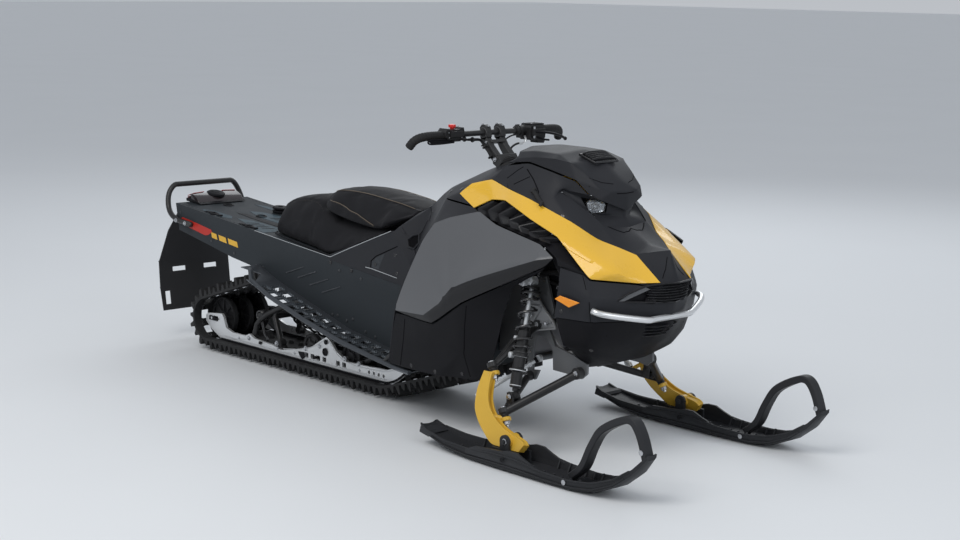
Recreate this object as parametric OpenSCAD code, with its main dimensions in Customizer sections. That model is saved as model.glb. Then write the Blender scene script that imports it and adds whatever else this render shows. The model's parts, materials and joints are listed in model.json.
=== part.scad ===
// Mountain snowmobile. Millimetres, +X forward, +Y to the rider's left, +Z up.
// Origin: on the ground, below the middle of the machine's length and width.

/* [Overall] */
// Distance between the two ski centre lines
ski_stance = 914; // [900:2:928]
// Width of the rubber track
track_w = 381; // [370:1:386]
// Height of the track's drive lugs
lug_h = 46; // [38:1:48]
// Thickness of the moulded body panels
panel_t = 4; // [3:0.5:5]

/* [Steering] */
// Outer diameter of the handlebar tube
bar_d = 22.2; // [20:0.1:24]
// Half of the handlebar's straight length
bar_half = 338; // [320:1:350]

/* [Suspension] */
// Diameter of the rear axle's wheels
rear_wheel_d = 178; // [170:1:180]
// Diameter of the idler wheels
idler_d = 118; // [112:1:124]
// Diameter of the front coil springs
spring_d = 58; // [52:1:62]

/* [Tunnel] */
// Sheet thickness of the tunnel
tunnel_t = 3; // [2:0.5:4]
// Outer width of the tunnel
tunnel_w = 388; // [386:1:392]
// Radius of the two accessory holes in the tunnel top
anchor_r = 16; // [12:0.5:18]

/* [Hidden] */

hs = ski_stance / 2;
tw2 = tunnel_w / 2;
// steering post axis: point and direction
PP = [459, 0, 979];
PD = unit([-0.545, 0, 0.839]);
// kingpin, right side: upper and lower tab centres
KU = [828, -392, 288];
KL = [908, -410, 142];
KD = unit(KU - KL);
// tie rod ends, right side
TO = [752, -392, 196];
TI = [846, -190, 318];
// ski pivot
SPX = 985; SPZ = 92;
// track geometry: centres and inner radii
RWX = -1240; RWR = rear_wheel_d / 2;
belt = 9;
RWZ = lug_h + belt + RWR;
base_z = lug_h + belt;

function unit(v) = v / norm(v);
function sumv(l) = [for (i = [1:len(l)]) 1] * l;
function tri(f) = [for (i = [1:len(f) - 2]) [f[0], f[i], f[i + 1]]];
function fn(p, k) = cross(p[k[1]] - p[k[0]], p[k[2]] - p[k[0]]);
// a face turned so that its normal points away from the inner point r
function out(p, f, r) =
  let (c = sumv([for (i = f) p[i]]) / len(f),
       n = sumv([for (k = tri(f)) fn(p, k)]))
  (n * (c - r) >= 0) ? f : [for (i = [len(f) - 1:-1:0]) f[i]];
function has(T, a, b) = len([for (k = T) if ((k[0] == a && k[1] == b) ||
  (k[1] == a && k[2] == b) || (k[2] == a && k[0] == b)) 1]) > 0;

// a moulded shell: outer points p, faces f, thickness t, inner point r
module panel(p, f, t, r = [700, 0, 560]) {
  F = [for (g = f) out(p, g, r)];
  T = [for (g = F) each tri(g)];
  n = len(p);
  vn = [for (i = [0:n - 1]) unit(sumv([for (k = T)
         if (k[0] == i || k[1] == i || k[2] == i) unit(fn(p, k))]))];
  q = [for (i = [0:n - 1]) p[i] - t * vn[i]];
  B = [for (k = T) each [for (e = [[k[0], k[1]], [k[1], k[2]], [k[2], k[0]]])
        if (!has(T, e[1], e[0])) e]];
  polyhedron(concat(p, q),
    concat([for (k = T) [k[0], k[2], k[1]]],
           [for (k = T) [k[0] + n, k[1] + n, k[2] + n]],
           [for (e = B) each [[e[0], e[1], e[1] + n], [e[0], e[1] + n, e[0] + n]]]));
}
// a shell that is symmetric about y = 0: centre points c, right-hand points s
module sym_panel(c, s, f, t, r = [700, 0, 560]) {
  nc = len(c); ns = len(s);
  p = concat(c, s, [for (v = s) [v[0], -v[1], v[2]]]);
  m = [for (g = f) [for (i = g) i < nc ? i : i + ns]];
  panel(p, concat(f, m), t, r);
}
// six times the signed volume inside triangles F of points p
function vol(p, F) = sumv([for (k = F) p[k[0]] * cross(p[k[1]], p[k[2]])]);
// a solid lofted through rings of equal length
module loft(R) {
  n = len(R[0]); m = len(R);
  P = [for (g = R) each g];
  F = concat(tri([for (i = [0:n - 1]) i]),
    [for (j = [0:m - 2]) for (i = [0:n - 1]) let (k = (i + 1) % n)
      each [[j * n + i, (j + 1) * n + i, j * n + k],
            [j * n + k, (j + 1) * n + i, (j + 1) * n + k]]],
    tri([for (i = [n - 1:-1:0]) (m - 1) * n + i]));
  polyhedron(P, vol(P, F) > 0 ? [for (k = F) [k[0], k[2], k[1]]] : F);
}
// corner cutting, for a smooth route through hand-set points
function soft(P) = concat([P[0]], [for (i = [0:len(P) - 2])
  each [0.75 * P[i] + 0.25 * P[i + 1], 0.25 * P[i] + 0.75 * P[i + 1]]], [P[len(P) - 1]]);
// a bar of oval section, half sizes a and b, swept along P; ref is a direction off the route
module sweep(P, a, b, ref, n = 12) {
  m = len(P);
  loft([for (i = [0:m - 1]) let (t = unit(P[min(i + 1, m - 1)] - P[max(i - 1, 0)]),
      u = unit(cross(ref, t)), v = cross(t, u))
    [for (k = [0:n - 1]) P[i] + a * cos(k * 360 / n) * u + b * sin(k * 360 / n) * v]]);
}
// plate with its outline in x and z, from y0 towards +Y by t
module xz(y0, t) translate([0, y0 + t, 0]) rotate([90, 0, 0]) linear_extrude(t) children();
module both() { children(); mirror([0, 1, 0]) children(); }
module rod(a, b, d) {
  v = b - a; L = norm(v);
  translate(a) rotate([0, acos(v[2] / L), atan2(v[1], v[0])]) cylinder(h = L, d = d, $fn = 32);
}
module pipe(P, d) {
  for (i = [0:len(P) - 2]) rod(P[i], P[i + 1], d);
  for (i = [1:len(P) - 2]) translate(P[i]) sphere(d = d, $fn = 32);
}
module along(a, v) translate(a) rotate([0, acos(v[2] / norm(v)), atan2(v[1], v[0])]) children();
module ydisc(x, y0, y1, z, d) translate([x, y1, z]) rotate([90, 0, 0]) cylinder(h = y1 - y0, d = d, $fn = 64);

// ---------------------------------------------------------------- tunnel
// height of the tunnel's top at x
function ttop(x) = 533 - 0.0955 * (x + 358);

module tunnel() color([0.12, 0.13, 0.14]) {
  difference() {
    union() {
      both() xz(-tw2, tunnel_t) polygon([[-1458, ttop(-1458)], [-1433, 520],
        [-1200, 478], [-1028, 446], [-830, 420], [-700, 386], [-221, 256],
        [190, 196], [420, 190], [600, 250], [600, 420], [360, ttop(360)]]);
      xz(-tw2, tunnel_w) polygon([[-1458, ttop(-1458)], [-1458, ttop(-1458) - tunnel_t],
        [360, ttop(360) - tunnel_t], [520, 437], [597, 330], [597, 252], [600, 250],
        [600, 331], [522, 440], [360, ttop(360)]]);
    }
    for (x = [-1330, -1080]) translate([x, 0, ttop(x)]) rotate([0, 5.455, 0])
      cylinder(r = anchor_r, h = 40, center = true, $fn = 48);
  }
}

// running board: plate under the boots, with its rolled outer edge
module running_board() {
  top = [[-830, 440], [-697, 390], [-221, 258], [190, 198], [300, 190]];
  difference() {
    xz(-328, 328 - tw2) polygon(concat(top, [for (i = [4:-1:0]) top[i] - [0, 4]]));
    translate([-900, -400, 300]) rotate([0, 0, 38]) cube([420, 90, 300], center = true);
    for (i = [0:12]) for (j = [0:1])
      let (x = -640 + i * 62, z = x < -221 ? 390 - (x + 697) * 0.277 : 258 - (x + 221) * 0.146)
      translate([x + j * 20, -306 + j * 54, z]) cube([42, 38, 60], center = true);
  }
  sweep(soft([[-800, -262, 430], [-697, -328, 388], [-221, -328, 256], [190, -328, 196], [300, -328, 188]]), 10, 10, [0, 0, 1], 8);
}
module running_boards() color([0.15, 0.16, 0.17]) both() running_board();

module rear_bumper() color([0.05, 0.05, 0.05]) {
  both() sweep(soft(soft([[-1320, -208, 556], [-1440, -208, 566], [-1500, -205, 600],
    [-1524, -192, 670], [-1524, -160, 712], [-1524, -128, 712]])), 12, 12, [0.6, 0.4, -0.5], 16);
  ydisc(-1524, -128, 128, 712, 24);
}

module snow_flap() color([0.06, 0.06, 0.06]) difference() {
  // upper and lower leaves of the flap
  panel([[-1462, -165, 622], [-1462, 165, 622], [-1560, 172, 500], [-1560, -172, 500],
         [-1612, 190, 350], [-1612, -190, 350], [-1600, 192, 230], [-1600, -192, 230],
         [-1584, 186, 128], [-1584, -186, 128]],
    [[0, 1, 2, 3], [3, 2, 4, 5], [5, 4, 6, 7], [7, 6, 8, 9]], 5, [-1300, 0, 300]);
  both() translate([-1600, -85, 312]) rotate([0, -10, 0]) cube([60, 70, 22], center = true);
  both() translate([-1595, -155, 185]) cube([60, 26, 60], center = true);
}

module tail_light() color([0.08, 0.08, 0.09]) difference() {
  xz(-120, 240) polygon([[-1470, 641], [-1478, 668], [-1440, 676], [-1400, 660], [-1380, 633.5]]);
  both() translate([-1478, -128, 650]) rotate([0, 0, 30]) cube([60, 40, 90], center = true);
}

// ------------------------------------------------------------------ seat
function ring(x, zb, zt, wb, wt) = [[x, -wb, zb], [x, -wb * 1.02, zb + (zt - zb) * 0.35],
  [x, -wt, zt - (zt - zb) * 0.18], [x, -wt * 0.6, zt - 2], [x, wt * 0.6, zt - 2],
  [x, wt, zt - (zt - zb) * 0.18], [x, wb * 1.02, zb + (zt - zb) * 0.35], [x, wb, zb]];
module seat_rear() color([0.1, 0.1, 0.11])
  loft([ring(-800, 580, 628, 112, 95), ring(-770, 576.5, 708, 135, 96), ring(-655, 565, 742, 150, 98),
        ring(-545, 554.5, 744, 158, 108), ring(-471, 547.5, 706, 165, 130), ring(-372, 537.5, 668, 172, 140),
        ring(-200, 596, 655, 176, 160), ring(-60, 650, 668, 176, 165)]);
module seat_front() color([0.1, 0.1, 0.11])
  loft([ring(-470, 712, 778, 118, 90), ring(-405, 700, 796, 138, 98), ring(-255, 680, 800, 150, 100),
        ring(-100, 672, 786, 160, 98), ring(-20, 694, 774, 168, 92), ring(58, 724, 756, 120, 80)]);

// tank under the seat's front and the console
module fuel_tank() color([0.07, 0.07, 0.08]) {
  xz(-182, 364) polygon([[-335, 534], [-330, 541], [-40, 648], [30, 674], [30, 499]]);
  xz(-88, 176) polygon([[20, 500], [20, 670], [36, 676], [60, 712], [150, 764], [240, 800], [380, 800],
    [420, 620], [420, 464], [360, 466.5]]);
}

// ------------------------------------------------------------- body shell
module console() color([0.09, 0.09, 0.1]) difference() {
  sym_panel(
    [[66, 0, 766], [148, 0, 830], [205, 0, 862], [390, 0, 948], [480, 0, 980], [590, 0, 1004]],
    [[86, -92, 757], [170, -106, 786], [255, -116, 846], [325, -134, 882], [430, -190, 905],
     [494, -256, 882], [526, -228, 914], [596, -200, 934], [612, -158, 978],
     [596, -284, 850], [404, -228, 852]],
    [[0, 6, 7, 1], [1, 7, 8, 2], [2, 8, 9, 3], [3, 9, 10, 4], [4, 10, 12, 13, 14, 5],
     [10, 11, 12], [10, 16, 11], [16, 15, 11], [9, 16, 10]],
    panel_t, [500, 0, 700]);
  translate([459, 0, 979]) rotate([0, -33, 0]) cylinder(d = 86, h = 120, center = true, $fn = 48);
}

module windshield() color([0.11, 0.11, 0.13])
  sym_panel(
    [[572, 0, 1012], [600, 0, 1052], [745, 0, 1064], [888, 0, 1046], [932, 0, 1014], [1100, 0, 862]],
    [[628, -158, 990], [640, -140, 1012], [742, -150, 1024], [856, -130, 1040], [957, -112, 1017],
     [742, -154, 1006], [900, -130, 965], [1040, -100, 922], [1030, -108, 968]],
    [[0, 6, 7, 1], [1, 7, 8, 2], [2, 8, 9, 3], [3, 9, 10, 4], [4, 10, 14, 5], [14, 13, 5],
     [7, 6, 11, 8], [8, 11, 12, 9], [9, 12, 13, 14, 10]],
    panel_t, [800, 0, 900]);

module hood() color([0.11, 0.11, 0.13]) difference() {
  sym_panel(
    [[1083, 0, 820], [1178, 0, 717], [1318, 0, 634]],
    [[742, -158, 1001], [900, -134, 960], [880, -154, 920], [985, -138, 876], [1062, -120, 802],
     [612, -202, 933], [835, -232, 884], [998, -193, 819], [1078, -147, 764], [1146, -112, 741],
     [1200, -80, 720], [1304, -74, 640], [630, -160, 981]],
    [[15, 8, 9, 3], [3, 9, 5, 4], [9, 10, 6, 5], [10, 11, 7, 6], [6, 7, 0], [7, 11, 12],
     [7, 12, 13, 1, 0], [13, 14, 2, 1]],
    panel_t, [700, 0, 640]);
  // openings for the two lamps
  both() translate([1015, -97, 881]) cube([100, 84, 60], center = true);
}

module headlights() color([0.75, 0.78, 0.8]) both()
  loft([[[975, -128, 862], [1030, -72, 862], [1030, -66, 900], [985, -112, 904]],
        [[1004, -132, 858], [1056, -66, 858], [1050, -62, 896], [1006, -116, 900]]]);

module wing() {
  panel([[500, -270, 880], [530, -235, 917], [605, -207, 937], [700, -224, 915], [835, -240, 890],
         [998, -200, 825], [1078, -152, 770], [1148, -118, 746], [1200, -86, 724], [1306, -80, 642],
         [1254, -135, 638], [1155, -264, 652], [1128, -268, 672], [997, -268, 781], [881, -285, 830],
         [756, -285, 885], [688, -286, 880], [610, -300, 842], [1218, -214, 682]],
    [[0, 1, 2], [0, 2, 16, 17], [2, 3, 15, 16], [3, 4, 15], [4, 14, 15], [4, 5, 14], [5, 13, 14], [5, 6, 13],
     [6, 7, 18, 13], [7, 8, 18], [8, 9, 10, 18], [18, 10, 11], [18, 11, 12, 13]],
    panel_t, [700, 0, 560]);
}
module upper_panels() color([0.85, 0.62, 0.12]) both() wing();

module vent() {
  panel([[618, -288, 838], [690, -272, 868], [754, -270, 872], [878, -270, 818], [990, -254, 770],
         [1118, -254, 668], [1050, -318, 690], [1040, -320, 716], [968, -316, 752], [864, -306, 770],
         [730, -300, 790], [650, -294, 826]],
    [[0, 1, 2, 11], [2, 10, 11], [2, 3, 10], [3, 9, 10], [3, 4, 9], [4, 8, 9], [4, 5, 7, 8], [5, 6, 7]],
    panel_t, [700, 0, 560]);
}
module side_vents() color([0.06, 0.06, 0.065]) both() vent();

// grey side panel with its turned-in lower lip
module side_panel() {
  panel([[644, -304, 832], [735, -312, 796], [868, -322, 774], [975, -328, 756], [1050, -338, 718],
         [1000, -372, 708], [686, -402, 597], [606, -404, 556], [560, -400, 512], [545, -396, 498],
         [443, -388, 436], [240, -352, 420], [285, -356, 520], [394, -350, 705], [440, -336, 770], [520, -330, 800],
         [1020, -350, 676], [800, -368, 570], [640, -384, 500], [480, -380, 400]],
    [[0, 1, 7, 15], [1, 2, 6, 7], [2, 3, 5, 6], [3, 4, 5], [15, 7, 8, 14], [14, 8, 13], [13, 8, 9, 12],
     [12, 9, 10, 11], [5, 4, 16], [5, 16, 17, 6], [6, 17, 18, 7], [7, 18, 8], [8, 18, 9],
     [9, 18, 19], [9, 19, 10], [10, 19, 11]],
    panel_t, [700, 0, 560]);
}
module side_panels() color([0.33, 0.34, 0.36]) both() side_panel();

module lower_panel() {
  panel([[1014, -344, 668], [798, -362, 566], [640, -378, 496], [482, -374, 396], [238, -346, 414],
         [188, -336, 212], [470, -350, 214], [540, -332, 216], [671, -328, 226], [717, -316, 252],
         [752, -300, 400], [770, -300, 470], [860, -326, 540], [990, -330, 650],
         [300, -352, 300], [620, -356, 330]],
    [[0, 1, 12, 13], [1, 2, 11, 12], [2, 15, 11], [2, 3, 15], [3, 4, 14], [3, 14, 15], [4, 5, 14], [14, 5, 6], [14, 6, 15],
     [6, 7, 15], [7, 8, 15], [8, 9, 15], [9, 10, 15], [10, 11, 15]],
    panel_t, [600, 0, 450]);
}
module lower_panels() color([0.06, 0.06, 0.065]) both() lower_panel();

// rider-side cover between the seat and the side panel
module side_cover() difference() {
  panel([[44, -198, 682], [92, -104, 752], [170, -112, 782], [255, -124, 842], [325, -146, 876], [398, -244, 846],
         [603, -293, 839], [640, -300, 822], [512, -326, 796], [432, -332, 766], [386, -346, 704], [278, -352, 518], [234, -348, 420],
         [180, -330, 212], [168, -200, 214], [160, -200, 560]],
    [[0, 1, 2], [0, 2, 15], [2, 3, 10, 15], [3, 4, 10], [4, 5, 9, 10], [5, 8, 9], [5, 6, 7, 8], [15, 10, 11], [15, 11, 12, 14], [12, 13, 14]],
    panel_t, [560, 0, 520]);
  translate([232, -250, 660]) rotate([0, 25, 0]) cube([36, 200, 52], center = true);
}
module side_covers() color([0.1, 0.1, 0.11]) both() side_cover();

module nose_cowl() color([0.09, 0.09, 0.1]) difference() {
  sym_panel(
    [[1300, 0, 568], [1290, 0, 505]],
    [[1250, -135, 632], [1150, -266, 646], [1122, -266, 662], [1062, -316, 684],
     [1058, -318, 640], [1046, -314, 574], [1030, -306, 508], [1165, -270, 506], [1172, -278, 575],
     [1256, -98, 505], [1282, -94, 572], [1217, -200, 576], [1276, -118, 628]],
    [[2, 3, 10, 13], [2, 13, 14], [3, 4, 10], [4, 5, 6, 10], [6, 7, 10], [7, 8, 9, 10],
     [10, 9, 11, 12], [10, 12, 13], [12, 11, 1, 0]],
    panel_t, [900, 0, 560]);
  bumper_tube(13.5);
}

module belly_pan() color([0.05, 0.05, 0.055]) difference() {
  sym_panel(
    [[1286, 0, 503], [1190, 0, 400], [1120, 0, 335], [1010, 0, 296]],
    [[1254, -98, 503], [1163, -266, 503], [1030, -300, 506], [1034, -268, 404], [1130, -196, 366], [1110, -70, 330],
     [1010, -150, 300], [1190, -96, 408], [1150, -240, 420], [905, -170, 300], [905, -250, 400], [900, -290, 500]],
    [[0, 4, 11, 1], [4, 5, 12, 11], [5, 6, 7, 12], [12, 7, 8], [11, 12, 8, 9], [1, 11, 9, 2], [2, 9, 10, 3], [9, 8, 10],
     [8, 7, 14, 13, 10], [7, 6, 15, 14]],
    panel_t, [1000, 0, 480]);
  bumper_tube(13.5);
  // slots for the bulkhead's side plates
  both() translate([985, -171, 330]) cube([190, 24, 170], center = true);
}

module grille() color([0.04, 0.04, 0.045]) {
  difference() {
    loft([[[1264, -112, 624], [1300, -72, 628], [1300, 72, 628], [1264, 112, 624], [1240, 112, 620], [1240, -112, 620]],
          [[1272, -92, 578], [1298, -50, 570], [1298, 50, 570], [1272, 92, 578], [1240, 92, 578], [1240, -92, 578]]]);
  }
}

module bumper_tube(r) {
  both() sweep(soft(soft([[1176, -276, 548], [1212, -262, 538], [1284, -112, 512], [1284, -88, 512]])), r, r, [0, 0, 1], 16);
  ydisc(1284, -90, 90, 512, 2 * r);
}
module front_bumper() color([0.85, 0.85, 0.86]) bumper_tube(11);

module front_reflectors() color([0.95, 0.5, 0.08]) both()
  panel([[1050, -326, 578], [1072, -322, 592], [1140, -296, 572], [1100, -306, 552]],
    [[0, 1, 2, 3]], 3, [900, 0, 560]);

// ---------------------------------------------------------- chassis front
module bulkhead() color([0.45, 0.46, 0.48]) {
  both() difference() {
    xz(-176, 10) polygon([[790, 600], [860, 616], [900, 500], [880, 424], [910, 370],
      [1000, 352], [1066, 330], [1066, 296], [1040, 274], [1010, 280], [880, 284], [840, 284],
      [812, 232], [774, 232], [770, 420]]);
    // the tie rod's inner end passes through here
    xz(-190, 40) polygon([[800, 266], [902, 278], [898, 352], [866, 396], [812, 396], [800, 340]]);
  }
  for (p = [[800, 580], [840, 440], [784, 300], [1030, 334]]) ydisc(p[0], -167, 167, p[1], 22);
  // shock eye bolts and arm pivot bolts
  both() { ydisc(850, -226, -175, 600, 14); }
}

module engine() color([0.4, 0.41, 0.42]) difference() {
  translate([603, -155, 300]) cube([164, 310, 330]);
}

// Track loop: wheels [x, z, radius], run round clockwise from the rear one.
WR = [[RWX, RWZ, RWR], [-690, 351, 62], [430, 300, 92], [-60, base_z + 190, 190]];
function arcp(c, a0, a1, n) = [for (i = [0:n]) let (a = a0 + (a1 - a0) * i / n)
  [c[0] + c[2] * cos(a), c[1] + c[2] * sin(a), a]];
// direction of the outward normal on the straight run from wheel A to wheel B
function tang(A, B) = let (dx = B[0] - A[0], dz = B[1] - A[1], L = norm([dx, dz]))
  atan2(dz, dx) + 90 + asin((B[2] - A[2]) / L);
A01 = tang(WR[0], WR[1]); A12 = tang(WR[1], WR[2]); A23 = tang(WR[2], WR[3]);
// inner line of the belt: x, z and the direction of its outward normal
LOOP = concat(arcp(WR[0], 270, A01, 16), arcp(WR[1], A01, A12, 4),
  arcp(WR[2], A12, A23, 14), arcp(WR[3], A23, -90, 5));
NL = len(LOOP);
CUM = [for (i = 0, s = 0; i <= NL; s = s + (i < NL ? norm([LOOP[(i + 1) % NL][0] - LOOP[i][0],
  LOOP[(i + 1) % NL][1] - LOOP[i][1]]) : 0), i = i + 1) s];
TX = [for (i = [0:NL]) [CUM[i], LOOP[i % NL][0]]];
TZ = [for (i = [0:NL]) [CUM[i], LOOP[i % NL][1]]];
// direction of the normal: falls from 270 to -90 round the loop
TA = [for (i = [0:NL]) [CUM[i], i == NL ? -90 : LOOP[i][2]]];
TL = CUM[NL];
function tp(s, o) = let (u = s < 0 ? s + TL : s > TL ? s - TL : s, a = lookup(u, TA))
  [lookup(u, TX) + o * cos(a), lookup(u, TZ) + o * sin(a)];
LUGS = 56;
pitch = TL / LUGS;
module track() color([0.07, 0.07, 0.07]) xz(-track_w / 2, track_w) difference() {
  polygon([for (k = [0:LUGS - 1]) let (s = (k + 0.5) * pitch) each [tp(s - pitch / 2 + 1, belt),
    tp(s - 10, belt), tp(s - 6, belt + lug_h), tp(s + 6, belt + lug_h), tp(s + 10, belt), tp(s + pitch / 4 + 5, belt)]]);
  polygon([for (p = LOOP) [p[0], p[1]]]);
}

module drive_axle() color([0.1, 0.1, 0.1]) {
  ydisc(430, -tw2 + tunnel_t, tw2 - tunnel_t, 300, 28);
  for (y = [-95, 60]) ydisc(430, y, y + 35, 300, 180);
}

module skid_rails() color([0.72, 0.73, 0.74]) both() difference() {
  xz(-151, 12) polygon([[-1292, 124], [-1292, 150], [-1280, 160], [-1172, 172], [-1160, 160], [-1140, 114],
    [-1090, 100], [-995, 101], [-965, 114], [-930, 99], [-790, 91], [-740, 80], [-675, 91],
    [-528, 127], [-455, 171], [-426, 186], [-400, 172], [-361, 136], [-292, 105], [-178, 108],
    [-45, 113], [50, 142], [92, 166], [100, 146], [60, 102], [20, 76], [-20, 62], [-60, base_z + 0.5],
    [-1170, base_z + 0.5], [-1259, 97]]);
  for (x = [-560, -520, -480, -440, -350, -310]) translate([x, -140, 88]) cube([24, 40, 20], center = true);
  for (x = [-1040, -760, -640, -210]) ydisc(x, -160, -130, 84, 13);
  ydisc(-426, -160, -130, 165, 14);
  ydisc(-432, -160, -130, 122, 26);
  translate([-1232, -140, 143]) cube([64, 40, 22], center = true);
  for (x = [-150, -120, -90, -60]) ydisc(x, -160, -130, 86, 14);
}

module wheel(x, y, z, d, w) difference() {
  union() {
    ydisc(x, y - w / 2, y + w / 2, z, d);
    ydisc(x, y - w / 2 - 5, y + w / 2 + 5, z, d * 0.36);
  }
  difference() {
    ydisc(x, y - w, y - w / 2 + 5, z, d * 0.8);
    ydisc(x, y - w - 1, y - w / 2 + 6, z, d * 0.36);
  }
  difference() {
    ydisc(x, y + w / 2 - 5, y + w, z, d * 0.8);
    ydisc(x, y + w / 2 - 6, y + w + 1, z, d * 0.36);
  }
}
module rear_axle() color([0.09, 0.09, 0.09]) {
  for (y = [-84, 0, 84]) wheel(RWX, y, RWZ, rear_wheel_d - 2, 20);
  ydisc(RWX, -139, 139, RWZ, 22);
}
module idler_wheels() color([0.09, 0.09, 0.09]) {
  for (x = [-565, -305]) {
    for (y = [-110, 110]) wheel(x, y, base_z + idler_d / 2 + 1, idler_d, 18);
    ydisc(x, -139, 139, base_z + idler_d / 2 + 1, 18);
  }
  for (y = [-70, 70]) wheel(WR[1][0], y, WR[1][1], 2 * WR[1][2] - 3, 20);
  ydisc(WR[1][0], -tw2 + tunnel_t, tw2 - tunnel_t, WR[1][1], 18);
}

module skid_linkage() color([0.06, 0.06, 0.06]) {
  // rear arm, its pivot block and the rear damper
  both() {
    sweep(soft(soft([[-966, -125, 92], [-955, -104, 190], [-580, -104, 330]])), 13, 13, [0.1, 1, 0.1]);
    sweep([[-766, -125, 102], [-842, -104, 204]], 12, 12, [0.1, 1, 0.1]);
    ydisc(-966, -139, -112, 96, 34);
    ydisc(-766, -139, -112, 104, 34);
  }
  ydisc(-955, -104, 104, 190, 24);
  ydisc(-842, -104, 104, 204, 24);
  ydisc(-580, -tw2 + tunnel_t, tw2 - tunnel_t, 330, 26);
  rod([-842, 0, 204], [-470, 0, 140], 44);
  ydisc(-470, -139, 139, 140, 18);
  // front arm and the centre damper
  both() sweep([[-218, -118, 106], [152, -104, 331]], 12, 12, [0.1, 1, 0.1]);
  ydisc(-215, -139, 139, 108, 24);
  ydisc(150, -tw2 + tunnel_t, tw2 - tunnel_t, 330, 26);
  rod([-215, 0, 108], [60, 0, 300], 46);
  ydisc(60, -110, 110, 282, 20);
}

// ------------------------------------------------------ front suspension
UB = KU + 26 * KD;   // ball centres above the spindle's tabs
LB = KL + 26 * KD;
ST = [852, -236, 602];
SB = [888, -356, 214];
module arm_end(b, k) {
  translate(b) sphere(d = 30, $fn = 32);
  along(k - 20 * KD, KD) cylinder(d = 12, h = norm(b - k) + 20, $fn = 32);
  along(k - 17 * KD, KD) cylinder(d = 22, h = 8, $fn = 6);
}
module upper_arms() color([0.06, 0.06, 0.06]) both() {
  arm_end(UB, KU);
  rod(UB, [838, -188, 440], 22);
  rod(UB, [778, -188, 428], 20);
  ydisc(838, -198, -178, 440, 30);
  ydisc(778, -198, -178, 428, 30);
}
module lower_arms() color([0.06, 0.06, 0.06]) both() {
  arm_end(LB, KL);
  rod(LB, [1036, -188, 296], 30);
  rod(LB, [790, -188, 244], 26);
  ydisc(1036, -198, -178, 296, 40);
  ydisc(790, -198, -178, 244, 34);
  rod([884, -378, 177], [946, -330, 210], 20);
  // fork for the damper's lower eye
  for (y = [-372, -340]) translate([888, y, 205]) cube([26, 8, 44], center = true);
  translate([888, -356, 187]) cube([26, 40, 8], center = true);
  ydisc(888, -378, -365, 214, 12);
  ydisc(888, -347, -334, 214, 12);
}
function on_shock(t) = ST + (SB - ST) * t;
module front_shocks() color([0.05, 0.05, 0.05]) both() {
  ydisc(852, -248, -226, 602, 30);
  rod(on_shock(0.03), on_shock(0.06), spring_d - 6);
  rod(on_shock(0), on_shock(0.5), 16);
  rod(on_shock(0.45), on_shock(0.94), 42);
  // coil spring as its outer sleeve
  difference() {
    rod(on_shock(0.06), on_shock(0.6), spring_d);
    rod(on_shock(0.06), on_shock(0.62), spring_d - 16);
  }
  rod(on_shock(0.6), on_shock(0.63), spring_d);
  rod(on_shock(0.92), on_shock(0.98), 14);
  ydisc(888, -362, -350, 214, 28);
}

// upright that carries the ski and turns about the kingpin
module spindle() difference() {
  union() {
    translate([0, -457, 92]) rotate([-15, 0, 0]) translate([0, -14, -92])
      xz(0, 28) polygon([[800, 300], [786, 225], [796, 160], [836, 112], [888, 76], [910, 62], [1040, 60],
        [1062, 84], [1052, 100], [1000, 112], [960, 122], [905, 146], [868, 180], [846, 212], [838, 268], [842, 300]]);
    along(KU - 12 * KD, KD) cylinder(d = 36, h = 24, $fn = 48);
    along(KL - 12 * KD, KD) cylinder(d = 36, h = 24, $fn = 48);
    rod(KL, [872, -432, 150], 20);
    rod([794, -426, 206], TO - 19 * KD, 15);
    along(TO - 25 * KD, KD) cylinder(d = 30, h = 13, $fn = 48);
    rod(KU, [822, -416, 288], 20);
    ydisc(SPX, -480, -434, SPZ, 44);
  }
  along(KU - 30 * KD, KD) cylinder(d = 12.1, h = 60, $fn = 48);
  along(KL - 30 * KD, KD) cylinder(d = 12.1, h = 60, $fn = 48);
  along(TO - 40 * KD, KD) cylinder(d = 10.1, h = 60, $fn = 48);
  ydisc(SPX, -500, -400, SPZ, 16.1);
  // room for the ball joints' housings and nuts
  along(KU + 8 * KD, KD) cylinder(d = 54, h = 60, $fn = 48);
  along(KU - 39 * KD, KD) cylinder(d = 40, h = 31, $fn = 48);
  along(KL + 8 * KD, KD) cylinder(d = 54, h = 60, $fn = 48);
  along(KL - 39 * KD, KD) cylinder(d = 40, h = 31, $fn = 48);
}
module spindle_right() color([0.85, 0.62, 0.12]) spindle();
module spindle_left() color([0.85, 0.62, 0.12]) mirror([0, 1, 0]) spindle();

module tie_rod() {
  v = unit(TI - TO);
  along(TO - 9 * KD, KD) cylinder(d = 26, h = 18, $fn = 32);
  along(TO - 26 * KD, KD) cylinder(d = 10, h = 24, $fn = 32);
  rod(TO + v * 4, TI - v * 4, 14);
  rod(TO + v * 20, TO + v * 44, 19);
  ydisc(TI[0], TI[1] - 8, TI[1] + 8, TI[2], 26);
}
module tie_rod_right() color([0.75, 0.76, 0.78]) tie_rod();
module tie_rod_left() color([0.75, 0.76, 0.78]) mirror([0, 1, 0]) tie_rod();

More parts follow.
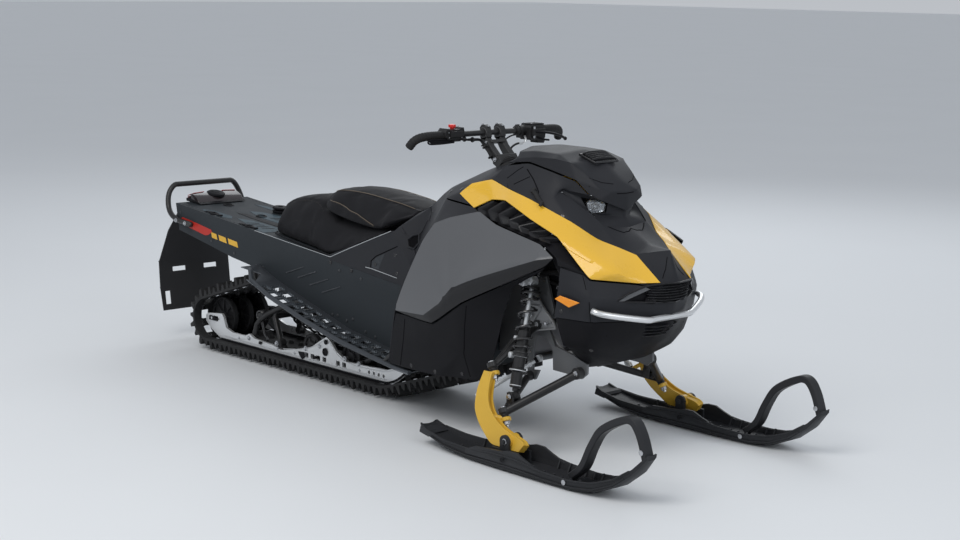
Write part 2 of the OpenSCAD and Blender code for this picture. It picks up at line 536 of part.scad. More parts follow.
// ski cross-section: x, bottom height, side height, half width
SKI = [[559, 52, 24, 40], [600, 34, 26, 46], [700, 12, 34, 58], [830, 0, 44, 66], [960, 0, 56, 72],
  [1080, 0, 56, 72], [1200, 0, 42, 72], [1330, 0, 38, 68], [1420, 12, 36, 60], [1500, 46, 30, 50],
  [1570, 98, 24, 38], [1620, 156, 18, 24]];
function sring(k) = let (x = k[0], z = k[1], h = k[2], w = k[3], t = 12)
  [[x, -w * 0.5, z], [x, -w * 0.92, z + 6], [x, -w, z + h], [x, -w + t * 0.6, z + h], [x, -w * 0.8, z + 20], [x, 0, z + 16],
   [x, w * 0.8, z + 20], [x, w - t * 0.6, z + h], [x, w, z + h], [x, w * 0.92, z + 6], [x, w * 0.5, z]];
module ski() translate([0, -hs, 0]) difference() {
  union() {
    loft([for (k = SKI) sring(k)]);
    // keel runner, saddle cheeks and the pivot bolt
    both() translate([SPX - 65, -34, 14]) cube([130, 9, 50]);
    both() ydisc(SPX, -34, -25, SPZ, 46);
    both() translate([SPX - 22, -34, 60]) cube([44, 9, 30]);
    ydisc(SPX, -44, 44, SPZ, 16);
    // loop handle
    sweep(soft(soft([[1280, 0, 20], [1330, 0, 66], [1380, 0, 190], [1500, 0, 268], [1545, 0, 276], [1580, 0, 220],
      [1602, 0, 150]])), 20, 7, [1, 0, 0.2], 8);
  }
}
module ski_right() color([0.09, 0.09, 0.1]) ski();
module ski_left() color([0.09, 0.09, 0.1]) mirror([0, 1, 0]) ski();

// --------------------------------------------------------------- steering
BC = [385, 0, 1080];
module steering_post() color([0.08, 0.08, 0.08]) difference() {
  union() {
    along(PP - 60 * PD, PD) cylinder(d = 44, h = 74, $fn = 48);
    for (y = [-27, 27]) rod(PP + [0, y * 0.8, 0] + 6 * PD, BC + [10, y, -12], 22);
    for (y = [-27, 27]) translate([0, y, 0]) ydisc(385, -11, 11, 1080, 42);
    ydisc(452, -30, 30, 990, 30);
  }
  ydisc(385, -60, 60, 1080, bar_d + 0.1);
}
module handlebar() color([0.06, 0.06, 0.06]) ydisc(385, -236, 236, 1080, bar_d);
module grips() color([0.04, 0.04, 0.04]) both()
  sweep(soft(soft([[385, -236, 1080], [385, -bar_half, 1080], [370, -372, 1068], [352, -384, 1040]])), 16, 16, [0.3, 0.2, 1], 16);
module throttle_block() color([0.05, 0.05, 0.05]) {
  difference() {
    union() {
      translate([385, -196, 1086]) cube([52, 58, 46], center = true);
      translate([378, -192, 1108]) rotate([0, 0, 0]) cylinder(d = 22, h = 16, $fn = 48);
      sweep(soft([[396, -205, 1074], [424, -216, 1066], [418, -300, 1052]]), 6, 6, [0, 0.2, 1], 8);
    }
    ydisc(385, -260, -140, 1080, bar_d + 0.1);
  }
}
module brake_control() color([0.05, 0.05, 0.05]) {
  difference() {
    union() {
      translate([398, 186, 1088]) cube([70, 74, 58], center = true);
      sweep(soft([[415, 195, 1074], [450, 262, 1064], [438, 330, 1048]]), 7, 5, [0, 0.2, 1], 8);
      translate([385, 122, 1078]) cube([40, 30, 40], center = true);
    }
    ydisc(385, 90, 250, 1080, bar_d + 0.1);
  }
}

tunnel();
running_boards();
rear_bumper();
snow_flap();
tail_light();
seat_rear();
seat_front();
fuel_tank();
console();
windshield();
hood();
headlights();
upper_panels();
side_vents();
side_panels();
lower_panels();
side_covers();
nose_cowl();
belly_pan();
grille();
front_bumper();
front_reflectors();
bulkhead();
engine();
track();
drive_axle();
skid_rails();
rear_axle();
idler_wheels();
skid_linkage();
upper_arms();
lower_arms();
front_shocks();
spindle_right();
spindle_left();
tie_rod_right();
tie_rod_left();
ski_right();
ski_left();
steering_post();
handlebar();
grips();
throttle_block();
brake_control();
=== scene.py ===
import json
import math
import random

import bpy
import bmesh
from mathutils import Matrix, Vector

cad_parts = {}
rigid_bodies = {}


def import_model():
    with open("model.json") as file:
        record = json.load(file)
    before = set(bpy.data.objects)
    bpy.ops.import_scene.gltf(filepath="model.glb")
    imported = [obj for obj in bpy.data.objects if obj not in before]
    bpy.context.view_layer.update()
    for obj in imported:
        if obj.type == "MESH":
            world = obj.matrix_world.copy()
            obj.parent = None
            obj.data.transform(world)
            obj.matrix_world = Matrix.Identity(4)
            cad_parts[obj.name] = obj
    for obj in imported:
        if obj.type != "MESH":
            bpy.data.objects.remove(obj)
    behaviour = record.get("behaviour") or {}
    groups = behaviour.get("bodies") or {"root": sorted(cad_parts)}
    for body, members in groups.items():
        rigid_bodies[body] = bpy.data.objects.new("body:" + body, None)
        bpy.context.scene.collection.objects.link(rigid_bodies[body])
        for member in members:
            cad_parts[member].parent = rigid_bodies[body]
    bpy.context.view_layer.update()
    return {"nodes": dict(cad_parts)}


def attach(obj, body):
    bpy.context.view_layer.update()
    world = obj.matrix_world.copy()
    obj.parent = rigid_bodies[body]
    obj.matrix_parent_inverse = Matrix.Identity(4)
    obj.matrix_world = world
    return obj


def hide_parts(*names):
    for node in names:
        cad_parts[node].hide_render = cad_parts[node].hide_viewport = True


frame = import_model()
NODES = frame["nodes"]
RNG = random.Random(7)
MM = 0.001
scene = bpy.context.scene
scene.view_settings.view_transform = "Standard"


def V(*a):
    return Vector(a[0] if len(a) == 1 else a)


# ------------------------------------------------------------------ materials
def material(name, base, rough=0.5, metal=0.0, vary=0.12, vscale=6.0, bump=0.15,
             bscale=400.0, detail=4.0, coat=0.0, coat_rough=0.15, wear=0.0,
             wear_col=(0.5, 0.5, 0.5), rvar=0.12, spec=0.32, alpha=None, trans=0.0,
             ior=1.45, sheen=0.0, dust=0.0, kind="noise", bdist=0.0006):
    m = bpy.data.materials.new(name)
    m.use_nodes = True
    nt = m.node_tree
    nt.nodes.clear()
    out = nt.nodes.new("ShaderNodeOutputMaterial")
    b = nt.nodes.new("ShaderNodeBsdfPrincipled")
    nt.links.new(b.outputs[0], out.inputs[0])
    tc = nt.nodes.new("ShaderNodeTexCoord")
    b.inputs["Metallic"].default_value = metal
    b.inputs["Specular IOR Level"].default_value = spec
    b.inputs["IOR"].default_value = ior
    b.inputs["Coat Weight"].default_value = coat
    b.inputs["Coat Roughness"].default_value = coat_rough
    b.inputs["Sheen Weight"].default_value = sheen
    b.inputs["Transmission Weight"].default_value = trans
    if alpha is not None:
        b.inputs["Alpha"].default_value = alpha
    # slow colour variation
    n1 = nt.nodes.new("ShaderNodeTexNoise")
    n1.inputs["Scale"].default_value = vscale
    n1.inputs["Detail"].default_value = detail
    nt.links.new(tc.outputs["Object"], n1.inputs["Vector"])
    mx = nt.nodes.new("ShaderNodeMix")
    mx.data_type = "RGBA"
    mx.inputs[6].default_value = (*[c * (1 - vary) for c in base[:3]], 1)
    mx.inputs[7].default_value = (*[min(1, c * (1 + vary)) for c in base[:3]], 1)
    nt.links.new(n1.outputs["Fac"], mx.inputs[0])
    col = mx.outputs[2]
    if wear > 0:
        geo = nt.nodes.new("ShaderNodeNewGeometry")
        rp = nt.nodes.new("ShaderNodeValToRGB")
        rp.color_ramp.elements[0].position = 0.53
        rp.color_ramp.elements[1].position = 0.62
        nt.links.new(geo.outputs["Pointiness"], rp.inputs[0])
        n3 = nt.nodes.new("ShaderNodeTexNoise")
        n3.inputs["Scale"].default_value = 60
        nt.links.new(tc.outputs["Object"], n3.inputs["Vector"])
        mul = nt.nodes.new("ShaderNodeMath")
        mul.operation = "MULTIPLY"
        nt.links.new(rp.outputs[0], mul.inputs[0])
        nt.links.new(n3.outputs["Fac"], mul.inputs[1])
        mul2 = nt.nodes.new("ShaderNodeMath")
        mul2.operation = "MULTIPLY"
        mul2.inputs[1].default_value = wear
        nt.links.new(mul.outputs[0], mul2.inputs[0])
        m2 = nt.nodes.new("ShaderNodeMix")
        m2.data_type = "RGBA"
        m2.inputs[7].default_value = (*wear_col, 1)
        nt.links.new(mul2.outputs[0], m2.inputs[0])
        nt.links.new(col, m2.inputs[6])
        col = m2.outputs[2]
    nt.links.new(col, b.inputs["Base Color"])
    # roughness variation
    n2 = nt.nodes.new("ShaderNodeTexNoise")
    n2.inputs["Scale"].default_value = vscale * 4
    n2.inputs["Detail"].default_value = 6
    nt.links.new(tc.outputs["Object"], n2.inputs["Vector"])
    mr = nt.nodes.new("ShaderNodeMapRange")
    mr.inputs["To Min"].default_value = max(0.02, rough - rvar)
    mr.inputs["To Max"].default_value = min(1, rough + rvar)
    nt.links.new(n2.outputs["Fac"], mr.inputs["Value"])
    nt.links.new(mr.outputs[0], b.inputs["Roughness"])
    if bump > 0:
        if kind == "grain":
            tx = nt.nodes.new("ShaderNodeTexVoronoi")
            tx.feature = "DISTANCE_TO_EDGE"
            tx.inputs["Scale"].default_value = bscale
            nt.links.new(tc.outputs["Object"], tx.inputs["Vector"])
            h = tx.outputs["Distance"]
        elif kind == "brushed":
            mp = nt.nodes.new("ShaderNodeMapping")
            mp.inputs["Scale"].default_value = (0.06, 1, 1)
            nt.links.new(tc.outputs["Object"], mp.inputs["Vector"])
            tx = nt.nodes.new("ShaderNodeTexNoise")
            tx.inputs["Scale"].default_value = bscale
            nt.links.new(mp.outputs[0], tx.inputs["Vector"])
            h = tx.outputs["Fac"]
        else:
            tx = nt.nodes.new("ShaderNodeTexNoise")
            tx.inputs["Scale"].default_value = bscale
            tx.inputs["Detail"].default_value = 3
            nt.links.new(tc.outputs["Object"], tx.inputs["Vector"])
            h = tx.outputs["Fac"]
        bp = nt.nodes.new("ShaderNodeBump")
        bp.inputs["Strength"].default_value = bump
        bp.inputs["Distance"].default_value = bdist
        nt.links.new(h, bp.inputs["Height"])
        nt.links.new(bp.outputs[0], b.inputs["Normal"])
    return m


M = {}
M["yellow"] = material("yellow_panel", (0.80, 0.47, 0.045), 0.28, vary=0.04, vscale=3, bump=0.05,
                       bscale=900, coat=0.5, coat_rough=0.08, rvar=0.05)
M["yellow_cast"] = material("yellow_casting", (0.66, 0.40, 0.045), 0.36, vary=0.07, vscale=14, bump=0.2,
                            bscale=420, coat=0.3, wear=0.25, wear_col=(0.5, 0.4, 0.25))
M["body"] = material("body_black", (0.026, 0.027, 0.031), 0.44, vary=0.14, vscale=4, bump=0.22,
                     bscale=1300, wear=0.1, wear_col=(0.12, 0.12, 0.13), rvar=0.06)
M["grey"] = material("grey_panel", (0.098, 0.101, 0.108), 0.36, vary=0.07, vscale=2.4, bump=0.08,
                     bscale=900, coat=0.25, coat_rough=0.2, rvar=0.05)
M["black"] = material("black_plastic", (0.010, 0.010, 0.012), 0.5, vary=0.2, vscale=5, bump=0.3,
                      bscale=1500, wear=0.15, wear_col=(0.08, 0.08, 0.085), rvar=0.08)
M["gloss"] = material("gloss_black", (0.016, 0.016, 0.018), 0.18, vary=0.15, vscale=5, bump=0.06,
                      bscale=800, coat=0.6, coat_rough=0.06, rvar=0.05)
M["tunnel"] = material("tunnel_sheet", (0.032, 0.037, 0.042), 0.46, metal=0.08, vary=0.14, vscale=3, bump=0.2,
                       bscale=700, wear=0.35, wear_col=(0.3, 0.3, 0.32), rvar=0.1)
M["board"] = material("board_sheet", (0.065, 0.072, 0.082), 0.42, metal=0.5, vary=0.2, vscale=16, bump=0.25,
                      bscale=600, wear=0.5, wear_col=(0.4, 0.42, 0.45))
M["steel_black"] = material("black_metal", (0.022, 0.022, 0.023), 0.36, metal=0.0, vary=0.18, vscale=12, bump=0.2,
                            bscale=900, coat=0.25, coat_rough=0.25, wear=0.3, wear_col=(0.3, 0.3, 0.3))
M["silver"] = material("silver_tube", (0.78, 0.79, 0.80), 0.3, metal=0.75, vary=0.05, vscale=8, bump=0.15,
                       bscale=600, kind="brushed", rvar=0.06)
M["alloy"] = material("rail_alloy", (0.72, 0.73, 0.74), 0.36, metal=0.7, vary=0.08, vscale=9, bump=0.35,
                      bscale=500, kind="brushed", wear=0.2, wear_col=(0.9, 0.9, 0.9))
M["cast"] = material("grey_casting", (0.16, 0.165, 0.172), 0.48, metal=0.5, vary=0.15, vscale=16, bump=0.6,
                     bscale=260, wear=0.3, wear_col=(0.5, 0.5, 0.5))
M["lip"] = material("panel_lip", (0.018, 0.018, 0.020), 0.34, vary=0.14, vscale=4, bump=0.12, bscale=900, coat=0.2)
# near-black: dark joints in the panel seams, and painted shade in the folds, in the hand hold's pocket and along the
# flank plate's upper edge
M["gap"] = material("panel_gap_and_painted_shade", (0.006, 0.006, 0.007), 0.6, vary=0.1, bump=0.05)
M["eye"] = material("bright_eye", (0.62, 0.64, 0.66), 0.3, metal=0.35, vary=0.06, vscale=20, bump=0.1)
M["plate"] = material("cast_plate", (0.33, 0.335, 0.345), 0.42, metal=0.2, vary=0.12, vscale=9, bump=0.3, bscale=500, wear=0.2, wear_col=(0.4, 0.4, 0.4))
M["engine"] = material("engine_metal", (0.22, 0.22, 0.23), 0.5, metal=0.7, vary=0.15, vscale=10, bump=0.4, bscale=300)
M["chrome"] = material("chrome", (0.85, 0.85, 0.86), 0.12, metal=1.0, vary=0.04, vscale=12, bump=0.03, rvar=0.04)
M["bolt"] = material("bolt_steel", (0.55, 0.56, 0.58), 0.28, metal=1.0, vary=0.1, vscale=60, bump=0.1)
M["rubber"] = material("track_rubber", (0.016, 0.016, 0.017), 0.68, vary=0.3, vscale=14, bump=0.5,
                       bscale=350, wear=0.25, wear_col=(0.07, 0.07, 0.072), rvar=0.12)
M["grip"] = material("grip_rubber", (0.014, 0.014, 0.015), 0.6, vary=0.2, vscale=60, bump=0.4, bscale=900)
M["wheel"] = material("wheel_plastic", (0.022, 0.022, 0.024), 0.45, vary=0.2, vscale=20, bump=0.2,
                      bscale=700, wear=0.2, wear_col=(0.1, 0.1, 0.1))
M["ski"] = material("ski_plastic", (0.028, 0.029, 0.032), 0.42, vary=0.22, vscale=9, bump=0.3,
                    bscale=500, wear=0.35, wear_col=(0.11, 0.115, 0.125), rvar=0.12)
M["control"] = material("control_plastic", (0.018, 0.018, 0.019), 0.45, vary=0.2, vscale=40, bump=0.2, bscale=1200)
M["red"] = material("red_plastic", (0.62, 0.02, 0.015), 0.35, vary=0.08, vscale=30, bump=0.1, coat=0.3)
M["seat"] = material("seat_vinyl", (0.013, 0.013, 0.015), 0.55, vary=0.16, vscale=10, bump=0.5, bscale=650,
                     kind="grain", sheen=0.02, rvar=0.06, bdist=0.0004)
M["seat2"] = material("seat_vinyl_side", (0.019, 0.020, 0.022), 0.5, vary=0.14, vscale=10, bump=0.4, bscale=900,
                      kind="grain", sheen=0.05, bdist=0.0003)
M["piping"] = material("seat_piping", (0.15, 0.12, 0.09), 0.5, vary=0.1, vscale=60, bump=0.3, bscale=900)
M["thread"] = material("seat_thread", (0.10, 0.095, 0.085), 0.7, vary=0.15, vscale=200, bump=0.3, bscale=1500)
M["lens"] = material("lamp_lens", (0.72, 0.74, 0.76), 0.08, vary=0.02, trans=0.85, bump=0.0, rvar=0.02)
M["lamp"] = material("lamp_reflector", (0.6, 0.62, 0.65), 0.16, metal=1.0, vary=0.1, vscale=40, bump=0.2, bscale=300)
M["smoke"] = material("smoked_lamp", (0.028, 0.022, 0.024), 0.14, vary=0.1, coat=0.6, coat_rough=0.05, bump=0.04, rvar=0.04)
M["redlens"] = material("red_lens", (0.30, 0.008, 0.008), 0.12, vary=0.08, coat=0.6, bump=0.2, bscale=260, kind="grain")
M["amber"] = material("amber_reflector", (0.90, 0.30, 0.01), 0.2, vary=0.1, vscale=30, bump=0.6, bscale=420,
                      kind="grain", coat=0.6, coat_rough=0.05)
M["slat"] = material("grille_slat", (0.055, 0.056, 0.06), 0.3, vary=0.1, bump=0.1, coat=0.3)
M["flap"] = material("flap_sheet", (0.032, 0.032, 0.034), 0.5, vary=0.2, vscale=6, bump=0.4, bscale=500,
                     wear=0.2, wear_col=(0.08, 0.08, 0.08))
M["steel"] = material("bright_rod", (0.62, 0.63, 0.65), 0.25, metal=1.0, vary=0.08, vscale=20, bump=0.15,
                      bscale=600, kind="brushed")
M["cable"] = material("cable_jacket", (0.012, 0.012, 0.013), 0.5, vary=0.2, vscale=50, bump=0.1)
M["decal"] = material("decal_blue_grey", (0.05, 0.075, 0.092), 0.4, vary=0.3, vscale=26, bump=0.1, bscale=900)
M["decal_red"] = material("decal_red", (0.45, 0.03, 0.02), 0.4, vary=0.1, bump=0.1, bscale=900)
M["decal_yellow"] = material("decal_yellow", (0.72, 0.42, 0.05), 0.4, vary=0.06, bump=0.1, bscale=900)

for _k, _v in (("body", 0.13), ("black", 0.12), ("lip", 0.15), ("gloss", 0.2), ("tunnel", 0.1), ("seat", 0.1), ("seat2", 0.1),
               ("steel_black", 0.2), ("ski", 0.2), ("flap", 0.2), ("gap", 0.03), ("decal", 0.1)):
    for _n in M[_k].node_tree.nodes:
        if _n.type == "BSDF_PRINCIPLED":
            _n.inputs["Specular IOR Level"].default_value = _v

CAD_LOOK = {
    "tunnel": ("tunnel", 0.8), "running_boards": ("board", 0.6), "rear_bumper": ("steel_black", 0),
    "snow_flap": ("flap", 1.2), "tail_light": ("smoke", 2.0), "seat_rear": ("seat", 0), "seat_front": ("seat", 0),
    "fuel_tank": ("black", 4), "console": ("body", 0.8), "windshield": ("body", 0.8), "hood": ("body", 0.8),
    "headlights": ("lens", 1.0), "upper_panels": ("yellow", 0.8), "side_vents": ("black", 0.8),
    "side_panels": ("grey", 0.8), "lower_panels": ("black", 0.8), "side_covers": ("body", 0.8),
    "nose_cowl": ("body", 0.8), "belly_pan": ("black", 0.8), "grille": ("black", 0.8), "front_bumper": ("silver", 0),
    "front_reflectors": ("amber", 0.6), "bulkhead": ("cast", 1.4), "engine": ("engine", 4), "track": ("rubber", 0.8),
    "drive_axle": ("wheel", 1.2), "skid_rails": ("alloy", 0.8), "rear_axle": ("wheel", 1.2),
    "idler_wheels": ("wheel", 1.0), "skid_linkage": ("steel_black", 1.0), "upper_arms": ("steel_black", 0.8),
    "lower_arms": ("steel_black", 0.8), "front_shocks": ("steel_black", 0.8), "spindle_right": ("yellow_cast", 1.6),
    "spindle_left": ("yellow_cast", 1.6), "tie_rod_right": ("steel", 0.6), "tie_rod_left": ("steel", 0.6),
    "ski_right": ("ski", 0.8), "ski_left": ("ski", 0.8), "steering_post": ("steel_black", 0.8),
    "handlebar": ("steel_black", 0), "grips": ("grip", 0), "throttle_block": ("control", 1.0),
    "brake_control": ("control", 1.0),
}


def dress(node, mat, width):
    o = NODES[node]
    o.data.materials.clear()
    o.data.materials.append(M[mat])
    w = o.modifiers.new("weld", "WELD")
    w.merge_threshold = 0.00002
    if width:
        bv = o.modifiers.new("bevel", "BEVEL")
        bv.width = width * MM
        bv.segments = 2
        bv.limit_method = "ANGLE"
        bv.angle_limit = math.radians(32)
        bv.use_clamp_overlap = True
    o.data.polygons.foreach_set("use_smooth", [True] * len(o.data.polygons))
    s = o.modifiers.new("normals", "WEIGHTED_NORMAL")
    s.keep_sharp = True


for node, (mt, wd) in CAD_LOOK.items():
    dress(node, mt, wd)


# ------------------------------------------------------------- camera, stage
def make_camera():
    az, el, roll = (math.radians(v) for v in (46.824, 9.400, 0.882))
    back = V(math.sin(az) * math.cos(el), -math.cos(az) * math.cos(el), math.sin(el))
    right = V(math.cos(az), math.sin(az), 0)
    up = back.cross(right)
    r2 = math.cos(roll) * right + math.sin(roll) * up
    u2 = -math.sin(roll) * right + math.cos(roll) * up
    cam = bpy.data.objects.new("camera", bpy.data.cameras.new("camera"))
    cam.data.sensor_width = 36
    cam.data.lens = 1754.66 / 960 * 36
    cam.matrix_world = Matrix((
        (r2.x, u2.x, back.x, 5.15045), (r2.y, u2.y, back.y, -4.52441),
        (r2.z, u2.z, back.z, 1.64335), (0, 0, 0, 1)))
    scene.collection.objects.link(cam)
    scene.camera = cam


def area(name, loc, target, size, power, color=(1, 1, 1)):
    li = bpy.data.lights.new(name, "AREA")
    li.shape = "RECTANGLE"
    li.size, li.size_y = size
    li.energy = power
    li.color = color
    o = bpy.data.objects.new(name, li)
    o.location = loc
    o.rotation_mode = "QUATERNION"
    o.rotation_quaternion = (V(target) - V(loc)).to_track_quat("-Z", "Y")
    scene.collection.objects.link(o)
    return o


def make_stage():
    me = bpy.data.meshes.new("floor")
    s = 90
    me.from_pydata([(-s, -s, 0), (s, -s, 0), (s, s, 0), (-s, s, 0)], [], [(0, 1, 2, 3)])
    fl = bpy.data.objects.new("floor", me)
    fl.location.z = -0.0005
    scene.collection.objects.link(fl)
    fm = material("floor", (0.74, 0.76, 0.78), 0.7, vary=0.02, vscale=0.8, bump=0.05, bscale=40)
    me.materials.append(fm)
    w = bpy.data.worlds.new("world")
    scene.world = w
    w.use_nodes = True
    bg = w.node_tree.nodes["Background"]
    bg.inputs[0].default_value = (0.90, 0.94, 1.0, 1)
    bg.inputs[1].default_value = 0.56
    area("key", (1.0, -5.0, 6.0), (0.1, 0, 0.3), (4, 4), 230, (1, 0.98, 0.95))
    area("fill", (6.5, -1.0, 3.5), (0.3, 0, 0.5), (3, 3), 60, (0.95, 0.98, 1))
    area("rim", (-3.0, 5.0, 4.5), (0, 0, 0.6), (5, 3), 90, (0.95, 0.98, 1))


make_camera()
make_stage()
# ------------------------------------------------------------- mesh builders
def finish_mesh(o, body, mats, slot=None, node=None, bevel=0, seg=2, ang=32, smooth=True, sub=0, wn=True):
    for m in mats:
        o.data.materials.append(M[m])
    if o.name not in scene.collection.objects:
        scene.collection.objects.link(o)
    if smooth:
        o.data.polygons.foreach_set("use_smooth", [True] * len(o.data.polygons))
    if bevel:
        bv = o.modifiers.new("bevel", "BEVEL")
        bv.width = bevel * MM
        bv.segments = seg
        bv.limit_method = "ANGLE"
        bv.angle_limit = math.radians(ang)
        bv.use_clamp_overlap = True
    if sub:
        sd = o.modifiers.new("sub", "SUBSURF")
        sd.levels = sd.render_levels = sub
    if smooth and not bevel and not sub:
        o.data.set_sharp_from_angle(angle=math.radians(ang))
    elif wn and bevel:
        o.modifiers.new("normals", "WEIGHTED_NORMAL")
    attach(o, body)
    if node:
        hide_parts(*([node] if isinstance(node, str) else node))
    return o


class MB:
    """A joined mesh made of simple and lathed parts, in millimetres."""

    def __init__(self):
        self.v, self.f, self.mi = [], [], []
        self.cur = 0

    def add(self, vs, fs):
        k = len(self.v)
        self.v += [tuple(v) for v in vs]
        for f in fs:
            self.f.append([i + k for i in f])
            self.mi.append(self.cur)

    def box(self, c, s, R=None):
        c = V(c)
        vs = []
        for x in (-0.5, 0.5):
            for y in (-0.5, 0.5):
                for z in (-0.5, 0.5):
                    p = V(x * s[0], y * s[1], z * s[2])
                    vs.append(c + (R @ p if R else p))
        self.add(vs, [(0, 1, 3, 2), (4, 6, 7, 5), (0, 4, 5, 1), (2, 3, 7, 6), (0, 2, 6, 4), (1, 5, 7, 3)])

    def lathe(self, a, d, prof, n=24, caps=True):
        """prof is a list of (distance along d, radius)."""
        a, d = V(a), V(d).normalized()
        u = d.orthogonal().normalized()
        w = d.cross(u)
        vs, fs = [], []
        for t, r in prof:
            for k in range(n):
                q = 2 * math.pi * k / n
                vs.append(a + d * t + (u * math.cos(q) + w * math.sin(q)) * r)
        for j in range(len(prof) - 1):
            for k in range(n):
                k2 = (k + 1) % n
                fs.append((j * n + k, j * n + k2, (j + 1) * n + k2, (j + 1) * n + k))
        if caps:
            if prof[0][1] > 0.01:
                fs.append(tuple(range(n - 1, -1, -1)))
            if prof[-1][1] > 0.01:
                fs.append(tuple((len(prof) - 1) * n + k for k in range(n)))
        self.add(vs, fs)

    def cyl(self, a, b, r, n=20, r2=None):
        a, b = V(a), V(b)
        L = (b - a).length
        self.lathe(a, b - a, [(0, r), (L, r if r2 is None else r2)], n)

    def bolt(self, c, d, r=7, h=5, washer=True, hexn=6):
        c, d = V(c), V(d).normalized()
        if washer:
            self.lathe(c, d, [(-1, r * 1.35), (1.2, r * 1.35), (1.6, r * 1.25)], 18)
        self.lathe(c + d * 1.2, d, [(0, r), (h * 0.8, r), (h, r * 0.8)], hexn)

    def tube(self, pts, r, n=10, closed=False, ref=None, b=None):
        """A tube of radius r (a list, or one value) along pts; b is the second half size of an oval."""
        P = [V(p) for p in pts]
        m = len(P)
        vs, fs = [], []
        u = None
        for i in range(m):
            if closed:
                t = (P[(i + 1) % m] - P[i - 1]).normalized()
            else:
                t = (P[min(i + 1, m - 1)] - P[max(i - 1, 0)]).normalized()
            if ref is not None:
                u = V(ref).cross(t).normalized()
            elif u is None:
                u = t.orthogonal().normalized()
            else:
                u = (u - t * u.dot(t)).normalized()
            w = t.cross(u)
            ra = r[i] if isinstance(r, (list, tuple)) else r
            rb = ra if b is None else (b[i] if isinstance(b, (list, tuple)) else b)
            for k in range(n):
                q = 2 * math.pi * k / n
                vs.append(P[i] + u * math.cos(q) * ra + w * math.sin(q) * rb)
        for j in range(m if closed else m - 1):
            j2 = (j + 1) % m
            for k in range(n):
                k2 = (k + 1) % n
                fs.append((j * n + k, j * n + k2, j2 * n + k2, j2 * n + k))
        if not closed:
            fs.append(tuple(range(n - 1, -1, -1)))
            fs.append(tuple((m - 1) * n + k for k in range(n)))
        self.add(vs, fs)

    def ball(self, c, r, n=16):
        prof = [(-r * math.cos(math.pi * i / (n // 2)), max(0.02, r * math.sin(math.pi * i / (n // 2))))
                for i in range(n // 2 + 1)]
        self.lathe(c, (0, 0, 1), prof, n)

    def prism(self, outline, d):
        """outline: a planar loop of points; d: the vector that it is extruded by."""
        O = [V(p) for p in outline]
        d = V(d)
        n = len(O)
        vs = O + [p + d for p in O]
        fs = [tuple(range(n - 1, -1, -1)), tuple(range(n, 2 * n))]
        fs += [(i, (i + 1) % n, (i + 1) % n + n, i + n) for i in range(n)]
        self.add(vs, fs)

    def sheet(self, pts, faces, t, r=None):
        """a plate of thickness t: faces of pts, thickened away from r's far side"""
        P = [V(p) for p in pts]
        nrm = [V(0, 0, 0) for _ in P]
        F = []
        for f in faces:
            n = (P[f[1]] - P[f[0]]).cross(P[f[2]] - P[f[0]])
            c = sum((P[i] for i in f), V(0, 0, 0)) / len(f)
            if r is not None and n.dot(c - V(r)) < 0:
                f = f[::-1]
                n = -n
            F.append(tuple(f))
            for i in f:
                nrm[i] += n.normalized()
        k = len(P)
        vs = P + [p - n.normalized() * t for p, n in zip(P, nrm)]
        fs = list(F) + [tuple(i + k for i in f[::-1]) for f in F]
        ed = {}
        for f in F:
            for i in range(len(f)):
                ed[(f[i], f[(i + 1) % len(f)])] = 1
        for a, b in ed:
            if (b, a) not in ed:
                fs.append((b, a, a + k, b + k))
        self.add(vs, fs)

    def both(self):
        """adds the mirror image in y of everything so far"""
        k = len(self.v)
        self.v += [(x, -y, z) for x, y, z in self.v]
        self.f += [[i + k for i in f[::-1]] for f in list(self.f)]
        self.mi += list(self.mi)

    def obj(self, name, body, mats, **kw):
        me = bpy.data.meshes.new(name)
        me.from_pydata([(x * MM, y * MM, z * MM) for x, y, z in self.v], [], self.f)
        bm = bmesh.new()
        bm.from_mesh(me)
        bmesh.ops.recalc_face_normals(bm, faces=bm.faces)
        bm.to_mesh(me)
        bm.free()
        me.polygons.foreach_set("material_index", self.mi)
        me.validate()
        o = bpy.data.objects.new(name, me)
        return finish_mesh(o, body, mats if isinstance(mats, (list, tuple)) else [mats], **kw)


def mir(p):
    return (p[0], -p[1], p[2])


def smooth_path(pts, n=6):
    """Catmull-Rom through the points."""
    P = [V(p) for p in pts]
    out = []
    for i in range(len(P) - 1):
        p0, p1, p2, p3 = P[max(i - 1, 0)], P[i], P[i + 1], P[min(i + 2, len(P) - 1)]
        for k in range(n):
            t = k / n
            out.append(0.5 * ((2 * p1) + (-p0 + p2) * t + (2 * p0 - 5 * p1 + 4 * p2 - p3) * t * t
                              + (-p0 + 3 * p1 - 3 * p2 + p3) * t ** 3))
    out.append(P[-1])
    return out


def chaikin(pts, n=2):
    P = [V(p) for p in pts]
    for _ in range(n):
        Q = [P[0]]
        for i in range(len(P) - 1):
            Q += [P[i] * 0.75 + P[i + 1] * 0.25, P[i] * 0.25 + P[i + 1] * 0.75]
        P = Q + [P[-1]]
    return P


